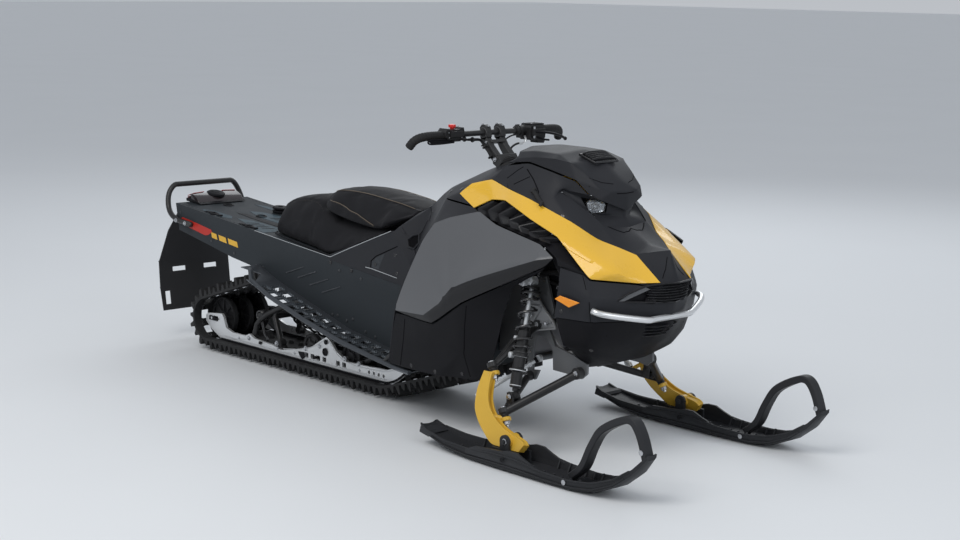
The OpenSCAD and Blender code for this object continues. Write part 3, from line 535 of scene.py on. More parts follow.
def shell(name, pts, faces, mat, node=None, t=4.0, r=(700, 0, 560), mode="both", sub=2,
          lo=6.0, hi=22.0, sharp=(), soft=(), centre=(), body="chassis", bevel=0.8, corner=24, cmax=0.95, face_mats=None):
    """A moulded panel: points in millimetres, faces as index lists.
    mode: both = a second copy mirrored in y; sym = centre points are shared with the mirror image; one = as it is."""
    P = [V(p) for p in pts]
    F = []
    for f in faces:
        n = V(0, 0, 0)
        for i in range(1, len(f) - 1):
            n += (P[f[i]] - P[f[0]]).cross(P[f[i + 1]] - P[f[0]])
        c = sum((P[i] for i in f), V(0, 0, 0)) / len(f)
        F.append(tuple(f) if n.dot(c - V(r)) >= 0 else tuple(f[::-1]))
    mats_i = list(face_mats) if face_mats else [0] * len(F)
    sh = {frozenset(e) for e in sharp}
    sf = {frozenset(e) for e in soft}
    if mode != "one":
        k = len(P)
        idx = list(range(k))
        for i, p in enumerate(list(P)):
            if mode == "sym" and abs(p.y) < 0.5:
                idx[i] = i
            else:
                idx[i] = len(P)
                P.append(V(p.x, -p.y, p.z))
        F += [tuple(idx[i] for i in f[::-1]) for f in list(F)]
        mats_i += mats_i
        sh |= {frozenset(idx[i] for i in e) for e in list(sh)}
        sf |= {frozenset(idx[i] for i in e) for e in list(sf)}
    me = bpy.data.meshes.new(name)
    bm = bmesh.new()
    ce = bm.edges.layers.float.new("crease_edge")
    cv = bm.verts.layers.float.new("crease_vert")
    il = bm.verts.layers.int.new("i")
    vs = [bm.verts.new(p * MM) for p in P]
    for i, v in enumerate(vs):
        v[il] = i
    for f, mi_ in zip(F, mats_i):
        fc = bm.faces.new([vs[i] for i in f])
        fc.material_index = mi_
    bm.verts.index_update()
    for v in [v for v in bm.verts if not v.link_faces]:
        bm.verts.remove(v)
    bm.normal_update()
    for e in bm.edges:
        if len(e.link_faces) == 2:
            a = math.degrees(e.calc_face_angle(0))
            c = max(0.0, min(1.0, (a - lo) / (hi - lo))) * cmax
            ek = frozenset(v[il] for v in e.verts)
            if ek in sh:
                c = 1.0
            if ek in sf:
                c = 0.0
            e[ce] = c
    for v in bm.verts:
        b = [e for e in v.link_edges if len(e.link_faces) == 1]
        if len(b) == 2:
            d0 = b[0].other_vert(v).co - v.co
            d1 = b[1].other_vert(v).co - v.co
            turn = 180 - math.degrees(d0.angle(d1, 0))
            if turn > corner:
                v[cv] = 0.9
            elif turn > 8:
                v[cv] = 0.45
    bm.to_mesh(me)
    bm.free()
    o = bpy.data.objects.new(name, me)
    scene.collection.objects.link(o)
    for m in (mat if isinstance(mat, (list, tuple)) else [mat]):
        me.materials.append(M[m])
    me.polygons.foreach_set("use_smooth", [True] * len(me.polygons))
    s = o.modifiers.new("sub", "SUBSURF")
    s.levels = s.render_levels = sub
    sd = o.modifiers.new("thick", "SOLIDIFY")
    sd.thickness = t * MM
    sd.offset = -1
    if bevel:
        bv = o.modifiers.new("bevel", "BEVEL")
        bv.width = bevel * MM
        bv.segments = 2
        bv.limit_method = "ANGLE"
        bv.angle_limit = math.radians(55)
        o.modifiers.new("normals", "WEIGHTED_NORMAL")
    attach(o, body)
    if node:
        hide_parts(*([node] if isinstance(node, str) else node))
    return o


# ----------------------------------------------------------------- body panels
def body_panels():
    # console between the seat and the windshield
    shell("console_shell", [
        [66, 0, 766], [148, 0, 830], [205, 0, 862], [390, 0, 948], [480, 0, 980], [590, 0, 1004],
        [86, -92, 757], [170, -108, 786], [255, -120, 846], [325, -140, 882], [430, -190, 905],
        [500, -262, 884], [530, -232, 917], [605, -205, 937], [700, -222, 915], [622, -158, 984],
        [610, -292, 846], [400, -240, 850]],
        [[0, 6, 7, 1], [1, 7, 8, 2], [2, 8, 9, 3], [3, 9, 10, 4], [4, 10, 12, 13, 15, 5],
         [13, 14, 15], [10, 11, 12], [10, 17, 11], [17, 16, 11], [9, 17, 10], [8, 17, 9]],
        "body", node="console", mode="sym", r=(500, 0, 700))
    # windshield: a domed lip, flat side wedges, a long front face and the brow below it
    shell("windshield_shell", [
        [572, 0, 1010], [596, 0, 1046], [745, 0, 1064], [870, 0, 1056], [961, 0, 1021], [1030, 0, 966],
        [1068, 0, 921], [1073, 0, 856],
        [628, -152, 996], [650, -116, 1036], [742, -126, 1047], [850, -118, 1044],
        [676, -150, 1014], [762, -154, 1026], [862, -150, 1029], [926, -134, 1019],
        [742, -156, 1009], [856, -152, 987], [958, -140, 962], [1040, -104, 934], [1062, -60, 925],
        [1003, -124, 918], [1046, -108, 898], [985, -112, 984]],
        [[0, 8, 12, 9, 1], [1, 9, 10, 2], [2, 10, 11, 3], [3, 11, 15, 4], [9, 12, 13, 10], [10, 13, 14, 11], [11, 14, 15],
         [8, 16, 13, 12], [13, 16, 17, 14], [14, 17, 18, 15], [15, 18, 19, 23], [4, 15, 23, 5], [23, 19, 20, 5],
         [5, 20, 6], [18, 21, 22, 19], [19, 22, 20], [20, 22, 7, 6]],
        "body", node="windshield", mode="sym", r=(800, 0, 900), sub=3, lo=5, hi=17,
        sharp=[(13, 14), (14, 15), (12, 13), (17, 18), (18, 19), (16, 17), (19, 20)])
    shell("hood_shell", [
        [1085, 0, 800], [1178, 0, 752], [1277, 0, 742], [1318, 0, 634],
        [742, -158, 1003], [856, -155, 981], [956, -144, 957], [1003, -127, 914], [964, -141, 920], [938, -146, 922],
        [902, -152, 928], [904, -155, 914], [962, -142, 884], [1022, -124, 846], [1067, -110, 810],
        [609, -207, 933], [835, -238, 886], [998, -200, 822], [1078, -152, 767], [1148, -118, 743],
        [1200, -86, 724], [1304, -80, 636], [626, -162, 984], [1240, -42, 736], [720, -220, 910], [900, -190, 900]],
        [[22, 15, 24, 4], [4, 24, 16, 25, 5], [5, 25, 10, 9, 6], [6, 9, 8, 7], [10, 25, 11], [11, 25, 17, 12], [25, 16, 17],
         [12, 17, 13], [13, 17, 18, 14], [14, 18, 19], [14, 19, 20, 1, 0], [1, 20, 23, 2], [20, 21, 3, 2, 23]],
        "body", node="hood", mode="sym", r=(700, 0, 640), sub=3, lo=5, hi=18,
        sharp=[(20, 23), (23, 2), (14, 0)])
    # recess that holds the lamps, below the brow
    shell("lamp_recess", [
        [1083, 0, 799], [1066, 0, 832], [1060, 0, 858],
        [1065, -110, 808], [1020, -124, 844], [960, -141, 882], [904, -153, 915], [902, -150, 927], [938, -144, 921],
        [964, -139, 919], [1001, -124, 915], [1043, -107, 896],
        [918, -140, 914], [962, -122, 902], [984, -113, 868], [1000, -98, 842], [1036, -66, 850], [1040, -64, 884], [1046, -40, 838]],
        [[7, 8, 12], [7, 12, 6], [8, 9, 10, 13, 12], [6, 12, 13, 14, 5], [5, 14, 15, 4], [4, 15, 18, 3], [3, 18, 1, 0],
         [15, 16, 18], [16, 2, 1, 18], [16, 17, 2], [10, 11, 17, 13]],
        "body", mode="sym", r=(700, 0, 860), sub=2, lo=8, hi=26, t=2)
    shell("wing_shell", [
        [500, -270, 880], [530, -235, 917], [605, -207, 937], [700, -224, 915], [835, -240, 890],
        [998, -200, 825], [1078, -152, 770], [1148, -118, 746], [1200, -86, 724], [1306, -80, 642],
        [1254, -135, 638], [1155, -264, 652], [1128, -268, 672], [997, -268, 781], [881, -285, 830],
        [756, -285, 885], [688, -286, 880], [610, -300, 842], [1218, -214, 682]],
        [[0, 1, 2], [0, 2, 16, 17], [2, 3, 15, 16], [3, 4, 14, 15], [4, 5, 13, 14],
         [5, 6, 18, 13], [6, 7, 18], [7, 8, 9, 10, 18], [18, 10, 11], [18, 11, 12, 13]],
        "yellow", node="upper_panels", lo=5, hi=20)
    # vent bay behind the louvres
    shell("side_vent_bay", [
        [618, -286, 838], [690, -262, 862], [754, -258, 864], [878, -256, 812], [990, -246, 766],
        [1118, -250, 668], [1050, -316, 690], [1040, -314, 716], [968, -298, 746], [864, -286, 764],
        [730, -284, 790], [650, -288, 824]],
        [[0, 1, 2, 11], [2, 10, 11], [2, 3, 10], [3, 9, 10], [3, 4, 9], [4, 8, 9], [4, 5, 7, 8], [5, 6, 7]],
        "black", node="side_vents")
    shell("side_panel_shell", [
        [644, -304, 832], [735, -312, 796], [868, -322, 774], [975, -328, 756], [1050, -338, 718],
        [1000, -372, 708], [686, -402, 597], [606, -404, 556], [560, -400, 512], [545, -396, 498],
        [443, -388, 436], [240, -352, 420], [285, -356, 520], [394, -350, 705], [440, -336, 770], [520, -330, 800],
        [1020, -350, 686], [800, -368, 586], [640, -384, 512], [480, -380, 410]],
        [[0, 1, 7, 15], [1, 2, 6, 7], [2, 3, 5, 6], [3, 4, 5], [15, 7, 8, 14], [14, 8, 13], [13, 8, 9, 12],
         [12, 9, 10, 11], [5, 4, 16], [5, 16, 17, 6], [6, 17, 18, 7], [7, 18, 8], [8, 18, 9],
         [9, 18, 19], [9, 19, 10], [10, 19, 11]],
        ["grey", "lip"], node="side_panels", lo=5, hi=20,
        face_mats=[0, 0, 0, 0, 0, 0, 0, 0, 1, 1, 1, 1, 1, 1, 1, 1])
    shell("lower_panel_shell", [
        [1014, -344, 678], [798, -362, 580], [640, -378, 507], [482, -374, 405], [238, -346, 414],
        [185, -334, 206], [470, -350, 212], [540, -332, 216], [671, -328, 226], [717, -316, 252],
        [752, -300, 400], [770, -300, 470], [846, -328, 590], [990, -334, 664],
        [300, -352, 300], [620, -356, 330]],
        [[0, 1, 12, 13], [1, 2, 11, 12], [2, 15, 11], [2, 3, 15], [3, 4, 14], [3, 14, 15], [4, 5, 14], [14, 5, 6],
         [14, 6, 15], [6, 7, 15], [7, 8, 15], [8, 9, 15], [9, 10, 15], [10, 11, 15]],
        "black", node="lower_panels", r=(600, 0, 450), lo=4, hi=16)
    shell("side_cover_shell", [
        [44, -198, 682], [92, -104, 752], [170, -112, 782], [255, -124, 842], [325, -146, 876], [398, -244, 846],
        [606, -296, 842], [640, -300, 826], [512, -326, 796], [432, -332, 766], [386, -346, 704], [278, -352, 518],
        [234, -348, 420], [180, -330, 212], [168, -200, 214], [160, -200, 560]],
        [[0, 1, 2], [0, 2, 15], [2, 3, 10, 15], [3, 4, 10], [4, 5, 9, 10], [5, 8, 9], [5, 6, 7, 8], [15, 10, 11],
         [15, 11, 12, 14], [12, 13, 14]],
        "body", node="side_covers", r=(560, 0, 520), lo=5, hi=20)
    shell("nose_cowl_shell", [
        [1300, 0, 568], [1290, 0, 505],
        [1250, -135, 632], [1150, -266, 646], [1122, -266, 662], [1062, -316, 684],
        [1058, -318, 640], [1046, -314, 574], [1030, -306, 508], [1165, -270, 506], [1172, -278, 575],
        [1256, -98, 505], [1282, -94, 572], [1217, -200, 576], [1276, -118, 628]],
        [[2, 3, 10, 13], [2, 13, 14], [3, 4, 10], [4, 5, 6, 10], [6, 7, 10], [7, 8, 9, 10],
         [10, 9, 11, 13], [13, 11, 12], [12, 11, 1, 0]],
        "body", node="nose_cowl", mode="sym", r=(900, 0, 560), lo=5, hi=20)
    shell("belly_shell", [
        [1286, 0, 503], [1190, 0, 400], [1120, 0, 335], [1010, 0, 296],
        [1254, -98, 503], [1163, -266, 503], [1030, -300, 506], [1034, -268, 404], [1130, -196, 366], [1110, -70, 330],
        [1040, -150, 312], [1190, -96, 408], [1150, -240, 420], [1004, -166, 348], [1006, -236, 410], [1012, -280, 500]],
        [[0, 4, 11, 1], [4, 5, 12, 11], [5, 6, 7, 12], [12, 7, 8], [11, 12, 8, 9], [1, 11, 9, 2], [2, 9, 10, 3],
         [9, 8, 10], [8, 7, 14, 13, 10], [7, 6, 15, 14]],
        "black", node="belly_pan", mode="sym", r=(1000, 0, 480), lo=4, hi=16)


body_panels()

# -------------------------------------------------- vents, lamps, grille, trim
def louvres():
    b = MB()
    top = [(610, -300, 842), (688, -284, 878), (756, -281, 883), (881, -281, 828), (997, -266, 779), (1100, -262, 690)]
    low = [(560, -318, 814), (735, -312, 797), (868, -322, 775), (975, -328, 757), (1050, -338, 720)]

    def at(line, x):
        for p, q in zip(line, line[1:]):
            if x <= q[0]:
                k = (x - p[0]) / (q[0] - p[0])
                return V(p).lerp(V(q), k)
        return V(line[-1])

    for i in range(7):
        x0 = 632 + i * 52
        a = at(top, x0 + 52) + V(0, 5, -4)
        c = at(low, x0 + 14) + V(4, 11, 7)
        m = a.lerp(c, 0.58) + V(-30, -13, 4)
        pts = chaikin([a, a.lerp(m, 0.85), m, c], 1)
        # a blade: its outer edge along pts, leaning back into the bay
        back = V(20, 24, -10)
        n = len(pts)
        vs = []
        for p in pts:
            vs += [p, p + V(8, 2, -2), p + back + V(8, 2, -2), p + back]
        fs = []
        for j in range(n - 1):
            for k in range(4):
                k2 = (k + 1) % 4
                fs.append((j * 4 + k, j * 4 + k2, (j + 1) * 4 + k2, (j + 1) * 4 + k))
        fs += [(0, 1, 2, 3), tuple((n - 1) * 4 + k for k in (3, 2, 1, 0))]
        b.add(vs, fs)
    b.both()
    b.obj("vent_louvres", "chassis", "lip", slot="black_plastic", bevel=1.2)


def headlamps():
    b = MB()
    # lens: faceted, slightly domed
    ring = [(986, -112, 882), (991, -102, 892), (1017, -76, 892), (1030, -66, 878), (1026, -70, 854), (998, -96, 846), (989, -110, 859)]
    c = sum((V(p) for p in ring), V(0, 0, 0)) / len(ring)
    n = V(0.72, -0.66, 0.12).normalized()
    inner = [V(p).lerp(c, 0.32) + n * 7 for p in ring]
    mid = c + n * 9
    vs = [V(p) for p in ring] + inner + [mid]
    k = len(ring)
    fs = [(i, (i + 1) % k, (i + 1) % k + k, i + k) for i in range(k)] + [(i + k, (i + 1) % k + k, 2 * k) for i in range(k)]
    b.add(vs, fs)
    back = [V(p) - n * 4 for p in ring]
    b.add([V(p) for p in ring] + back, [(i, i + k, (i + 1) % k + k, (i + 1) % k) for i in range(k)] + [tuple(range(2 * k - 1, k - 1, -1))])
    b.both()
    b.obj("headlight_lens", "chassis", "lens", slot="lamp_lens", node="headlights", bevel=1.0)
    # reflector bowl with steps, and a dark bezel
    r = MB()
    for j in range(3):
        rr = [V(p).lerp(c, 0.08 + 0.26 * j) - n * (8 + 9 * j) for p in ring]
        r2 = [V(p).lerp(c, 0.30 + 0.26 * j) - n * (10 + 9 * j) for p in ring]
        r.add(rr + r2, [(i, (i + 1) % k, (i + 1) % k + k, i + k) for i in range(k)])
    r.add([V(p).lerp(c, 0.82) - n * 28 for p in ring], [tuple(range(k))])
    r.ball(c - n * 16, 9, 14)
    r.both()
    r.obj("headlight_reflector", "chassis", "lamp", slot="lamp_lens")
    z = MB()
    o1 = [V(p) + (V(p) - c).normalized() * 4 + n * 1 for p in ring]
    o2 = [V(p) + (V(p) - c).normalized() * 7 - n * 30 for p in ring]
    i1 = [V(p) + n * 2 for p in ring]
    i2 = [V(p) + (V(p) - c).normalized() * 1 - n * 34 for p in ring]
    z.add(o1 + o2 + i1 + i2, [(i, (i + 1) % k, (i + 1) % k + k, i + k) for i in range(k)]
          + [(i, i + 2 * k, (i + 1) % k + 2 * k, (i + 1) % k) for i in range(k)]
          + [(i + 2 * k, i + 3 * k, (i + 1) % k + 3 * k, (i + 1) % k + 2 * k) for i in range(k)]
          + [(i + k, (i + 1) % k + k, (i + 1) % k + 3 * k, i + 3 * k) for i in range(k)])
    z.add(i2, [tuple(range(k))])
    z.both()
    z.obj("headlight_bezel", "chassis", "gloss", slot="body_black", bevel=0.8)


def grille_and_lamps():
    b = MB()
    # upper inlet: frame, dark back and thin slats
    b.add([(1268, -112, 626), (1302, -72, 630), (1302, 72, 630), (1268, 112, 626), (1276, 92, 576), (1300, 50, 568),
           (1300, -50, 568), (1276, -92, 576)], [(0, 1, 2, 3, 4, 5, 6, 7)])
    b.obj("grille_back", "chassis", "black", slot="black_plastic", node="grille")
    s = MB()
    for i in range(6):
        z = 578 + i * 9.2
        w = 98 + (z - 578) * 0.33
        s.tube(chaikin([(1268, -w, z + 2), (1300, -w * 0.62, z), (1312, 0, z - 1), (1300, w * 0.62, z), (1268, w, z + 2)], 2),
               5.5, 6, ref=(0, 0, 1), b=1.5)
    for i in range(4):
        z = 440 + i * 13
        w = 92 - (500 - z) * 0.25
        x = 1225 + (z - 440) * 0.95
        s.tube(chaikin([(x - 34, -w, z + 2), (x, -w * 0.7, z), (x + 8, 0, z - 1), (x, w * 0.7, z), (x - 34, w, z + 2)], 2),
               5, 6, ref=(0, 0, 1), b=1.6)
    s.obj("grille_slats", "chassis", "slat", slot="black_plastic")
    # reflectors: a raised amber lens with sloping sides
    r = MB()
    pts = [(1050, -328, 578), (1072, -324, 592), (1140, -297, 573), (1100, -308, 552)]
    c = sum((V(p) for p in pts), V(0, 0, 0)) / 4
    n = (V(pts[1]) - V(pts[0])).cross(V(pts[3]) - V(pts[0])).normalized()
    if n.y > 0:
        n = -n
    top = [V(p).lerp(c, 0.10) + n * 2.4 for p in pts]
    r.add([V(p) for p in pts] + top, [(0, 1, 5, 4), (1, 2, 6, 5), (2, 3, 7, 6), (3, 0, 4, 7), (4, 5, 6, 7), (3, 2, 1, 0)])
    r.both()
    r.obj("reflector_lens", "chassis", "amber", slot="amber_reflector", node="front_reflectors", bevel=0.7)


louvres()
headlamps()
grille_and_lamps()

# ------------------------------------------------------------------ the seats
def catmull_rows(rows, n):
    out = []
    for i in range(len(rows) - 1):
        a, b, c, d = rows[max(i - 1, 0)], rows[i], rows[i + 1], rows[min(i + 2, len(rows) - 1)]
        for k in range(n):
            t = k / n
            out.append([0.5 * (2 * q + (r - p) * t + (2 * p - 5 * q + 4 * r - s) * t * t + (3 * q - p - 3 * r + s) * t ** 3)
                        for p, q, r, s in zip(a, b, c, d)])
    out.append(list(rows[-1]))
    return out


def seat_side(ring):
    """the right half of a cross-section, from the bottom edge to the top's middle"""
    x, zb, zt, wb, wt = ring
    h = zt - zb
    ctl = [(-wb * 0.93, zb), (-wb * 0.99, zb + 0.05 * h), (-wb * 1.0, zb + 0.28 * h), (-(0.48 * wb + 0.52 * wt), zb + 0.62 * h),
           (-wt * 1.0, zt - 0.17 * h), (-wt * 0.9, zt - 0.05 * h), (-wt * 0.5, zt - 1), (0, zt + 1)]
    return [V(x, q[0], q[1]) for q in smooth_path([(y, z, 0) for y, z in ctl], 4)]


def cushion(name, node, rings, seams, push, mat="seat"):
    rows = [seat_side(r) for r in catmull_rows(rings, 6)]
    full = []
    for h in rows:
        left = [V(p.x, -p.y, p.z) for p in reversed(h[:-1])]
        a, b = left[-1], h[0]
        under = [a.lerp(b, k / 6) for k in range(1, 6)]
        full.append(h + left + under)
    n = len(full[0])

    def cap(row, dx):
        c = sum(row, V(0, 0, 0)) / n
        return [[c + (p - c) * s + V(dx * e, 0, 0) for p in row] for s, e in ((0.97, 0.35), (0.88, 0.7), (0.66, 0.93), (0.3, 1.0))]

    full = [r for r in reversed(cap(full[0], -9))] + full + cap(full[-1], 9)
    vs = [p for r in full for p in r]
    fs = []
    for j in range(len(full) - 1):
        for k in range(n):
            k2 = (k + 1) % n
            fs.append((j * n + k, j * n + k2, (j + 1) * n + k2, (j + 1) * n + k))
    fs += [tuple(range(n - 1, -1, -1)), tuple((len(full) - 1) * n + k for k in range(n))]

    def on_side(x, z):
        j = min(range(len(rows)), key=lambda i: abs(rows[i][0].x - x))
        h = rows[j]
        i = min(range(len(h) - 1), key=lambda q: abs((h[q].z + h[q + 1].z) / 2 - z))
        d = h[i + 1].z - h[i].z
        t = 0.5 if abs(d) < 1e-3 else max(0, min(1, (z - h[i].z) / d))
        return h[i].lerp(h[i + 1], t)

    def edge(x, col):
        j = min(range(len(rows)), key=lambda i: abs(rows[i][0].x - x))
        return rows[j][col]

    lines = []
    for kind, data, pipe in seams:
        if kind == "edge":
            x0, x1, col = data
            pts = [h[col] for h in rows if x0 <= h[0].x <= x1]
        elif kind == "across":
            j = min(range(len(rows)), key=lambda i: abs(rows[i][0].x - data[0]))
            pts = rows[j][data[1]:]
            pts = pts + [V(p.x, -p.y, p.z) for p in reversed(pts[:-1])]
        else:
            pts = [on_side(x, z) for x, z in smooth_path([(x, z, 0) for x, z in data], 8) for x, z in ((x, z),)] if False else \
                [on_side(q.x, q.y) for q in smooth_path([(x, z, 0) for x, z in data], 8)]
        lines.append((pts, pipe, kind))
    dense = []
    for pts, pipe, kind in lines:
        for i in range(len(pts) - 1):
            for k in range(4):
                p = pts[i].lerp(pts[i + 1], k / 4)
                dense += [p, V(p.x, -p.y, p.z)]
    zb_of = [min(p.z for p in r) for r in full]
    pins = []
    moved = []
    for i, p in enumerate(vs):
        d = min((p - q).length for q in dense) if dense else 99
        lowest = p.z - zb_of[i // n]
        c = V(p.x, 0, p.z - 40)
        out = (p - c).normalized()
        g = 2.6 * math.exp(-(d / 5.0) ** 2)
        moved.append(p - out * g)
        w = 1.0 if lowest < 9 or i < 2 * n or i >= (len(full) - 2) * n else max(0.0, 1.0 - d / 14)
        pins.append(w)
    me = bpy.data.meshes.new(name)
    me.from_pydata([tuple(p * MM) for p in moved], [], fs)
    bm = bmesh.new()
    bm.from_mesh(me)
    bmesh.ops.recalc_face_normals(bm, faces=bm.faces)
    bm.to_mesh(me)
    bm.free()
    o = bpy.data.objects.new(name, me)
    scene.collection.objects.link(o)
    vg = o.vertex_groups.new(name="pin")
    for i, w in enumerate(pins):
        if w > 0.02:
            vg.add([i], w, "REPLACE")
    cl = o.modifiers.new("cloth", "CLOTH")
    st = cl.settings
    st.quality = 5
    st.mass = 0.35
    st.tension_stiffness = st.compression_stiffness = 28
    st.shear_stiffness = 14
    st.bending_stiffness = 1.2
    st.vertex_group_mass = "pin"
    st.use_pressure = True
    st.uniform_pressure_force = push
    st.shrink_min = -0.012
    st.effector_weights.gravity = 0
    cl.point_cache.frame_start = 1
    cl.point_cache.frame_end = 16
    for f in range(1, 17):
        scene.frame_set(f)
    ev = o.evaluated_get(bpy.context.evaluated_depsgraph_get())
    done = bpy.data.meshes.new_from_object(ev)
    o.modifiers.clear()
    o.data = done
    scene.frame_set(1)
    done.materials.clear()
    done.materials.append(M[mat])
    done.polygons.foreach_set("use_smooth", [True] * len(done.polygons))
    sd = o.modifiers.new("sub", "SUBSURF")
    sd.levels = sd.render_levels = 1
    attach(o, "chassis")
    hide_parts(node)
    b = MB()
    t = MB()
    for pts, pipe, kind in lines:
        sides = [pts] if kind == "across" else [pts, [V(p.x, -p.y, p.z) for p in pts]]
        for s in sides:
            s = smooth_path(s[::2] + [s[-1]], 4)
            if pipe:
                b.tube(s, 1.5, 8)
            # a row of stitches beside the seam
            step = 0.0
            for i in range(len(s) - 1):
                step += (s[i + 1] - s[i]).length
                if step > 9:
                    step = 0
                    d = (s[i + 1] - s[i]).normalized()
                    c = V(s[i].x, 0, s[i].z - 40)
                    q = s[i] + (s[i] - c).normalized() * 0.4 + V(0, 0, -5 if not pipe else -4.5)
                    t.tube([q - d * 2.4, q + (s[i] - c).normalized() * 0.8, q + d * 2.4], 0.55, 5)
    if b.v:
        b.obj(name + "_piping", "chassis", "piping", slot="seat_cover")
    if t.v:
        t.obj(name + "_stitches", "chassis", "thread", slot="seat_cover")
    return o


cushion("rear_cushion", "seat_rear",
        [(-800, 580, 626, 112, 92), (-770, 577, 706, 135, 94), (-655, 565.5, 742, 150, 98), (-545, 555, 744, 158, 108),
         (-471, 548, 706, 165, 130), (-372, 538, 668, 172, 140), (-200, 597, 655, 176, 158), (-60, 651, 668, 176, 162)],
        [("edge", (-745, -480, 19), False), ("side", [(-700, 640), (-600, 652), (-470, 660)], False),
         ("across", (-640, 17), False)], 3.5)
cushion("front_cushion", "seat_front",
        [(-466, 714, 776, 118, 88), (-405, 700, 796, 138, 98), (-255, 680, 800, 150, 100), (-100, 672, 786, 160, 98),
         (-20, 694, 774, 168, 92), (54, 726, 756, 120, 80)],
        [("edge", (-452, 46, 20), True), ("side", [(-440, 748), (-330, 738), (-210, 708), (-118, 680)], True),
         ("across", (-395, 20), False)], 3.5)


def seat_extras():
    # base lip under the cushion, and a light grey bead along the cover's upper edge: a painted highlight of that lit
    # edge
    b = MB()
    path = chaikin([(-806, -116, 578), (-780, -150, 574), (-560, -176, 556), (-372, -188, 538), (-340, -190, 541),
                    (-40, -190, 652), (34, -194, 680)], 2)
    b.tube(path, 3.2, 8)
    b.both()
    b.obj("seat_base_lip", "chassis", "black", slot="black_plastic")
    # painted highlight: light beads along the tunnel's top edge and up the cover's edge
    t = MB()
    t.tube(smooth_path([(-860, -195, 582), (-600, -195.5, 557), (-345, -195.5, 533.5)], 4), 1.3, 6)
    t.tube(smooth_path([(-345, -195.5, 533.5), (-200, -195.5, 592), (-40, -196, 654), (36, -199, 682)], 4), 1.5, 6)
    t.both()
    t.obj("edge_painted_highlight", "chassis", "trim", slot="silver_tube")
    # cover between the seat's sides and the tunnel
    c = MB()
    pts = [(-372, -194.6, 535), (-40, -194.6, 655), (44, -196, 684), (160, -197, 560), (168, -197, 470), (-350, -194.6, 520)]
    c.prism(pts, (0, 8, 0))
    c.both()
    c.obj("seat_side_cover", "chassis", "body", slot="body_black", bevel=1.5)


# painted highlight: light grey for the beads that stand for lit edges on the tunnel, the seat cover and the flank plate
M["trim"] = material("painted_highlight_grey", (0.42, 0.44, 0.46), 0.4, vary=0.08, bump=0.05)
seat_extras()

# ------------------------------------------------------------- the handlebar
def grips():
    b = MB()
    path = smooth_path(chaikin([(385, -236, 1080), (385, -338, 1080), (370, -372, 1068), (352, -384, 1040)], 2), 8)
    rad = []
    s = 0
    for i, p in enumerate(path):
        if i:
            s += (p - path[i - 1]).length
        r = 15.6 + (0.8 if int(s / 5) % 2 else 0)
        if s < 7:
            r = 18.5
        rad.append(r)
    rad[-1] = 13.5
    b.tube(path, rad, 20)
    b.both()
    b.obj("bar_grips", "steering", "grip", slot="grip_rubber", node="grips")
    e = MB()
    p = path[-1]
    d = (path[-1] - path[-3]).normalized()
    e.lathe(p, d, [(-3, 15.2), (1, 15.2), (3, 12), (3.4, 5), (2, 4), (2, 0.1)], 20)
    e.both()
    e.obj("grip_end_caps", "steering", "control", slot="control_plastic")


def right_controls():
    b = MB()
    # clamped housing round the bar and the angular switch case on it
    prof = [(-226, 16), (-224, 19), (-206, 21), (-172, 21), (-168, 18), (-160, 18), (-158, 15)]
    b.lathe((385, 0, 1080), (0, 1, 0), prof, 28)
    case = [(-258, 1090), (-246, 1105), (-236, 1104), (-230, 1099), (-182, 1101), (-175, 1107), (-164, 1107), (-160, 1092),
            (-166, 1070), (-186, 1063), (-236, 1062), (-252, 1074)]
    b.prism([(362, y, z) for y, z in case], (44, 0, 0))
    b.box((410, -205, 1084), (12, 56, 22))
    b.box((385, -188, 1060), (26, 34, 10))
    b.cyl((399, -176, 1064), (399, -150, 1062), 5)
    b.obj("throttle_housing", "steering", "control", slot="control_plastic", node="throttle_block", bevel=2.4, seg=3)
    s = MB()
    for y, z in ((-240, 1090), (-176, 1092), (-176, 1072), (-238, 1072)):
        s.bolt((406, y, z), (1, 0, 0), 2.6, 2.2, washer=False)
    s.bolt((378, -168, 1107), (0, 0, 1), 3.4, 3, washer=False)
    s.obj("throttle_screws", "steering", "bolt", slot="bright_rod")
    # red stop button
    r = MB()
    r.lathe((380, -200, 1099), (0, 0, 1), [(0, 8), (7, 8), (7.5, 13.5), (14, 14.5), (18, 13), (19.5, 7), (19.8, 0.1)], 28)
    r.obj("stop_button", "steering", "red", slot="control_plastic")
    # rocker switches and the plate lever under the grip
    k = MB()
    k.box((407, -222, 1094), (6, 16, 9))
    k.box((407, -196, 1094), (6, 14, 9))
    loop = smooth_path([(394, -206, 1066), (397, -262, 1066), (399, -318, 1067), (401, -335, 1061), (400, -322, 1052),
                        (398, -262, 1051), (394, -206, 1053)], 6)
    k.tube(loop, 3.4, 10)
    k.sheet([(394, -206, 1066), (397, -262, 1066), (399, -316, 1066), (399, -330, 1060), (398, -316, 1054), (396, -262, 1052), (394, -206, 1053)],
            [(0, 1, 5, 6), (1, 2, 4, 5), (2, 3, 4)], 3)
    k.cyl((394, -208, 1050), (394, -208, 1070), 6)
    k.obj("throttle_lever", "steering", "black", slot="control_plastic", bevel=0.8)


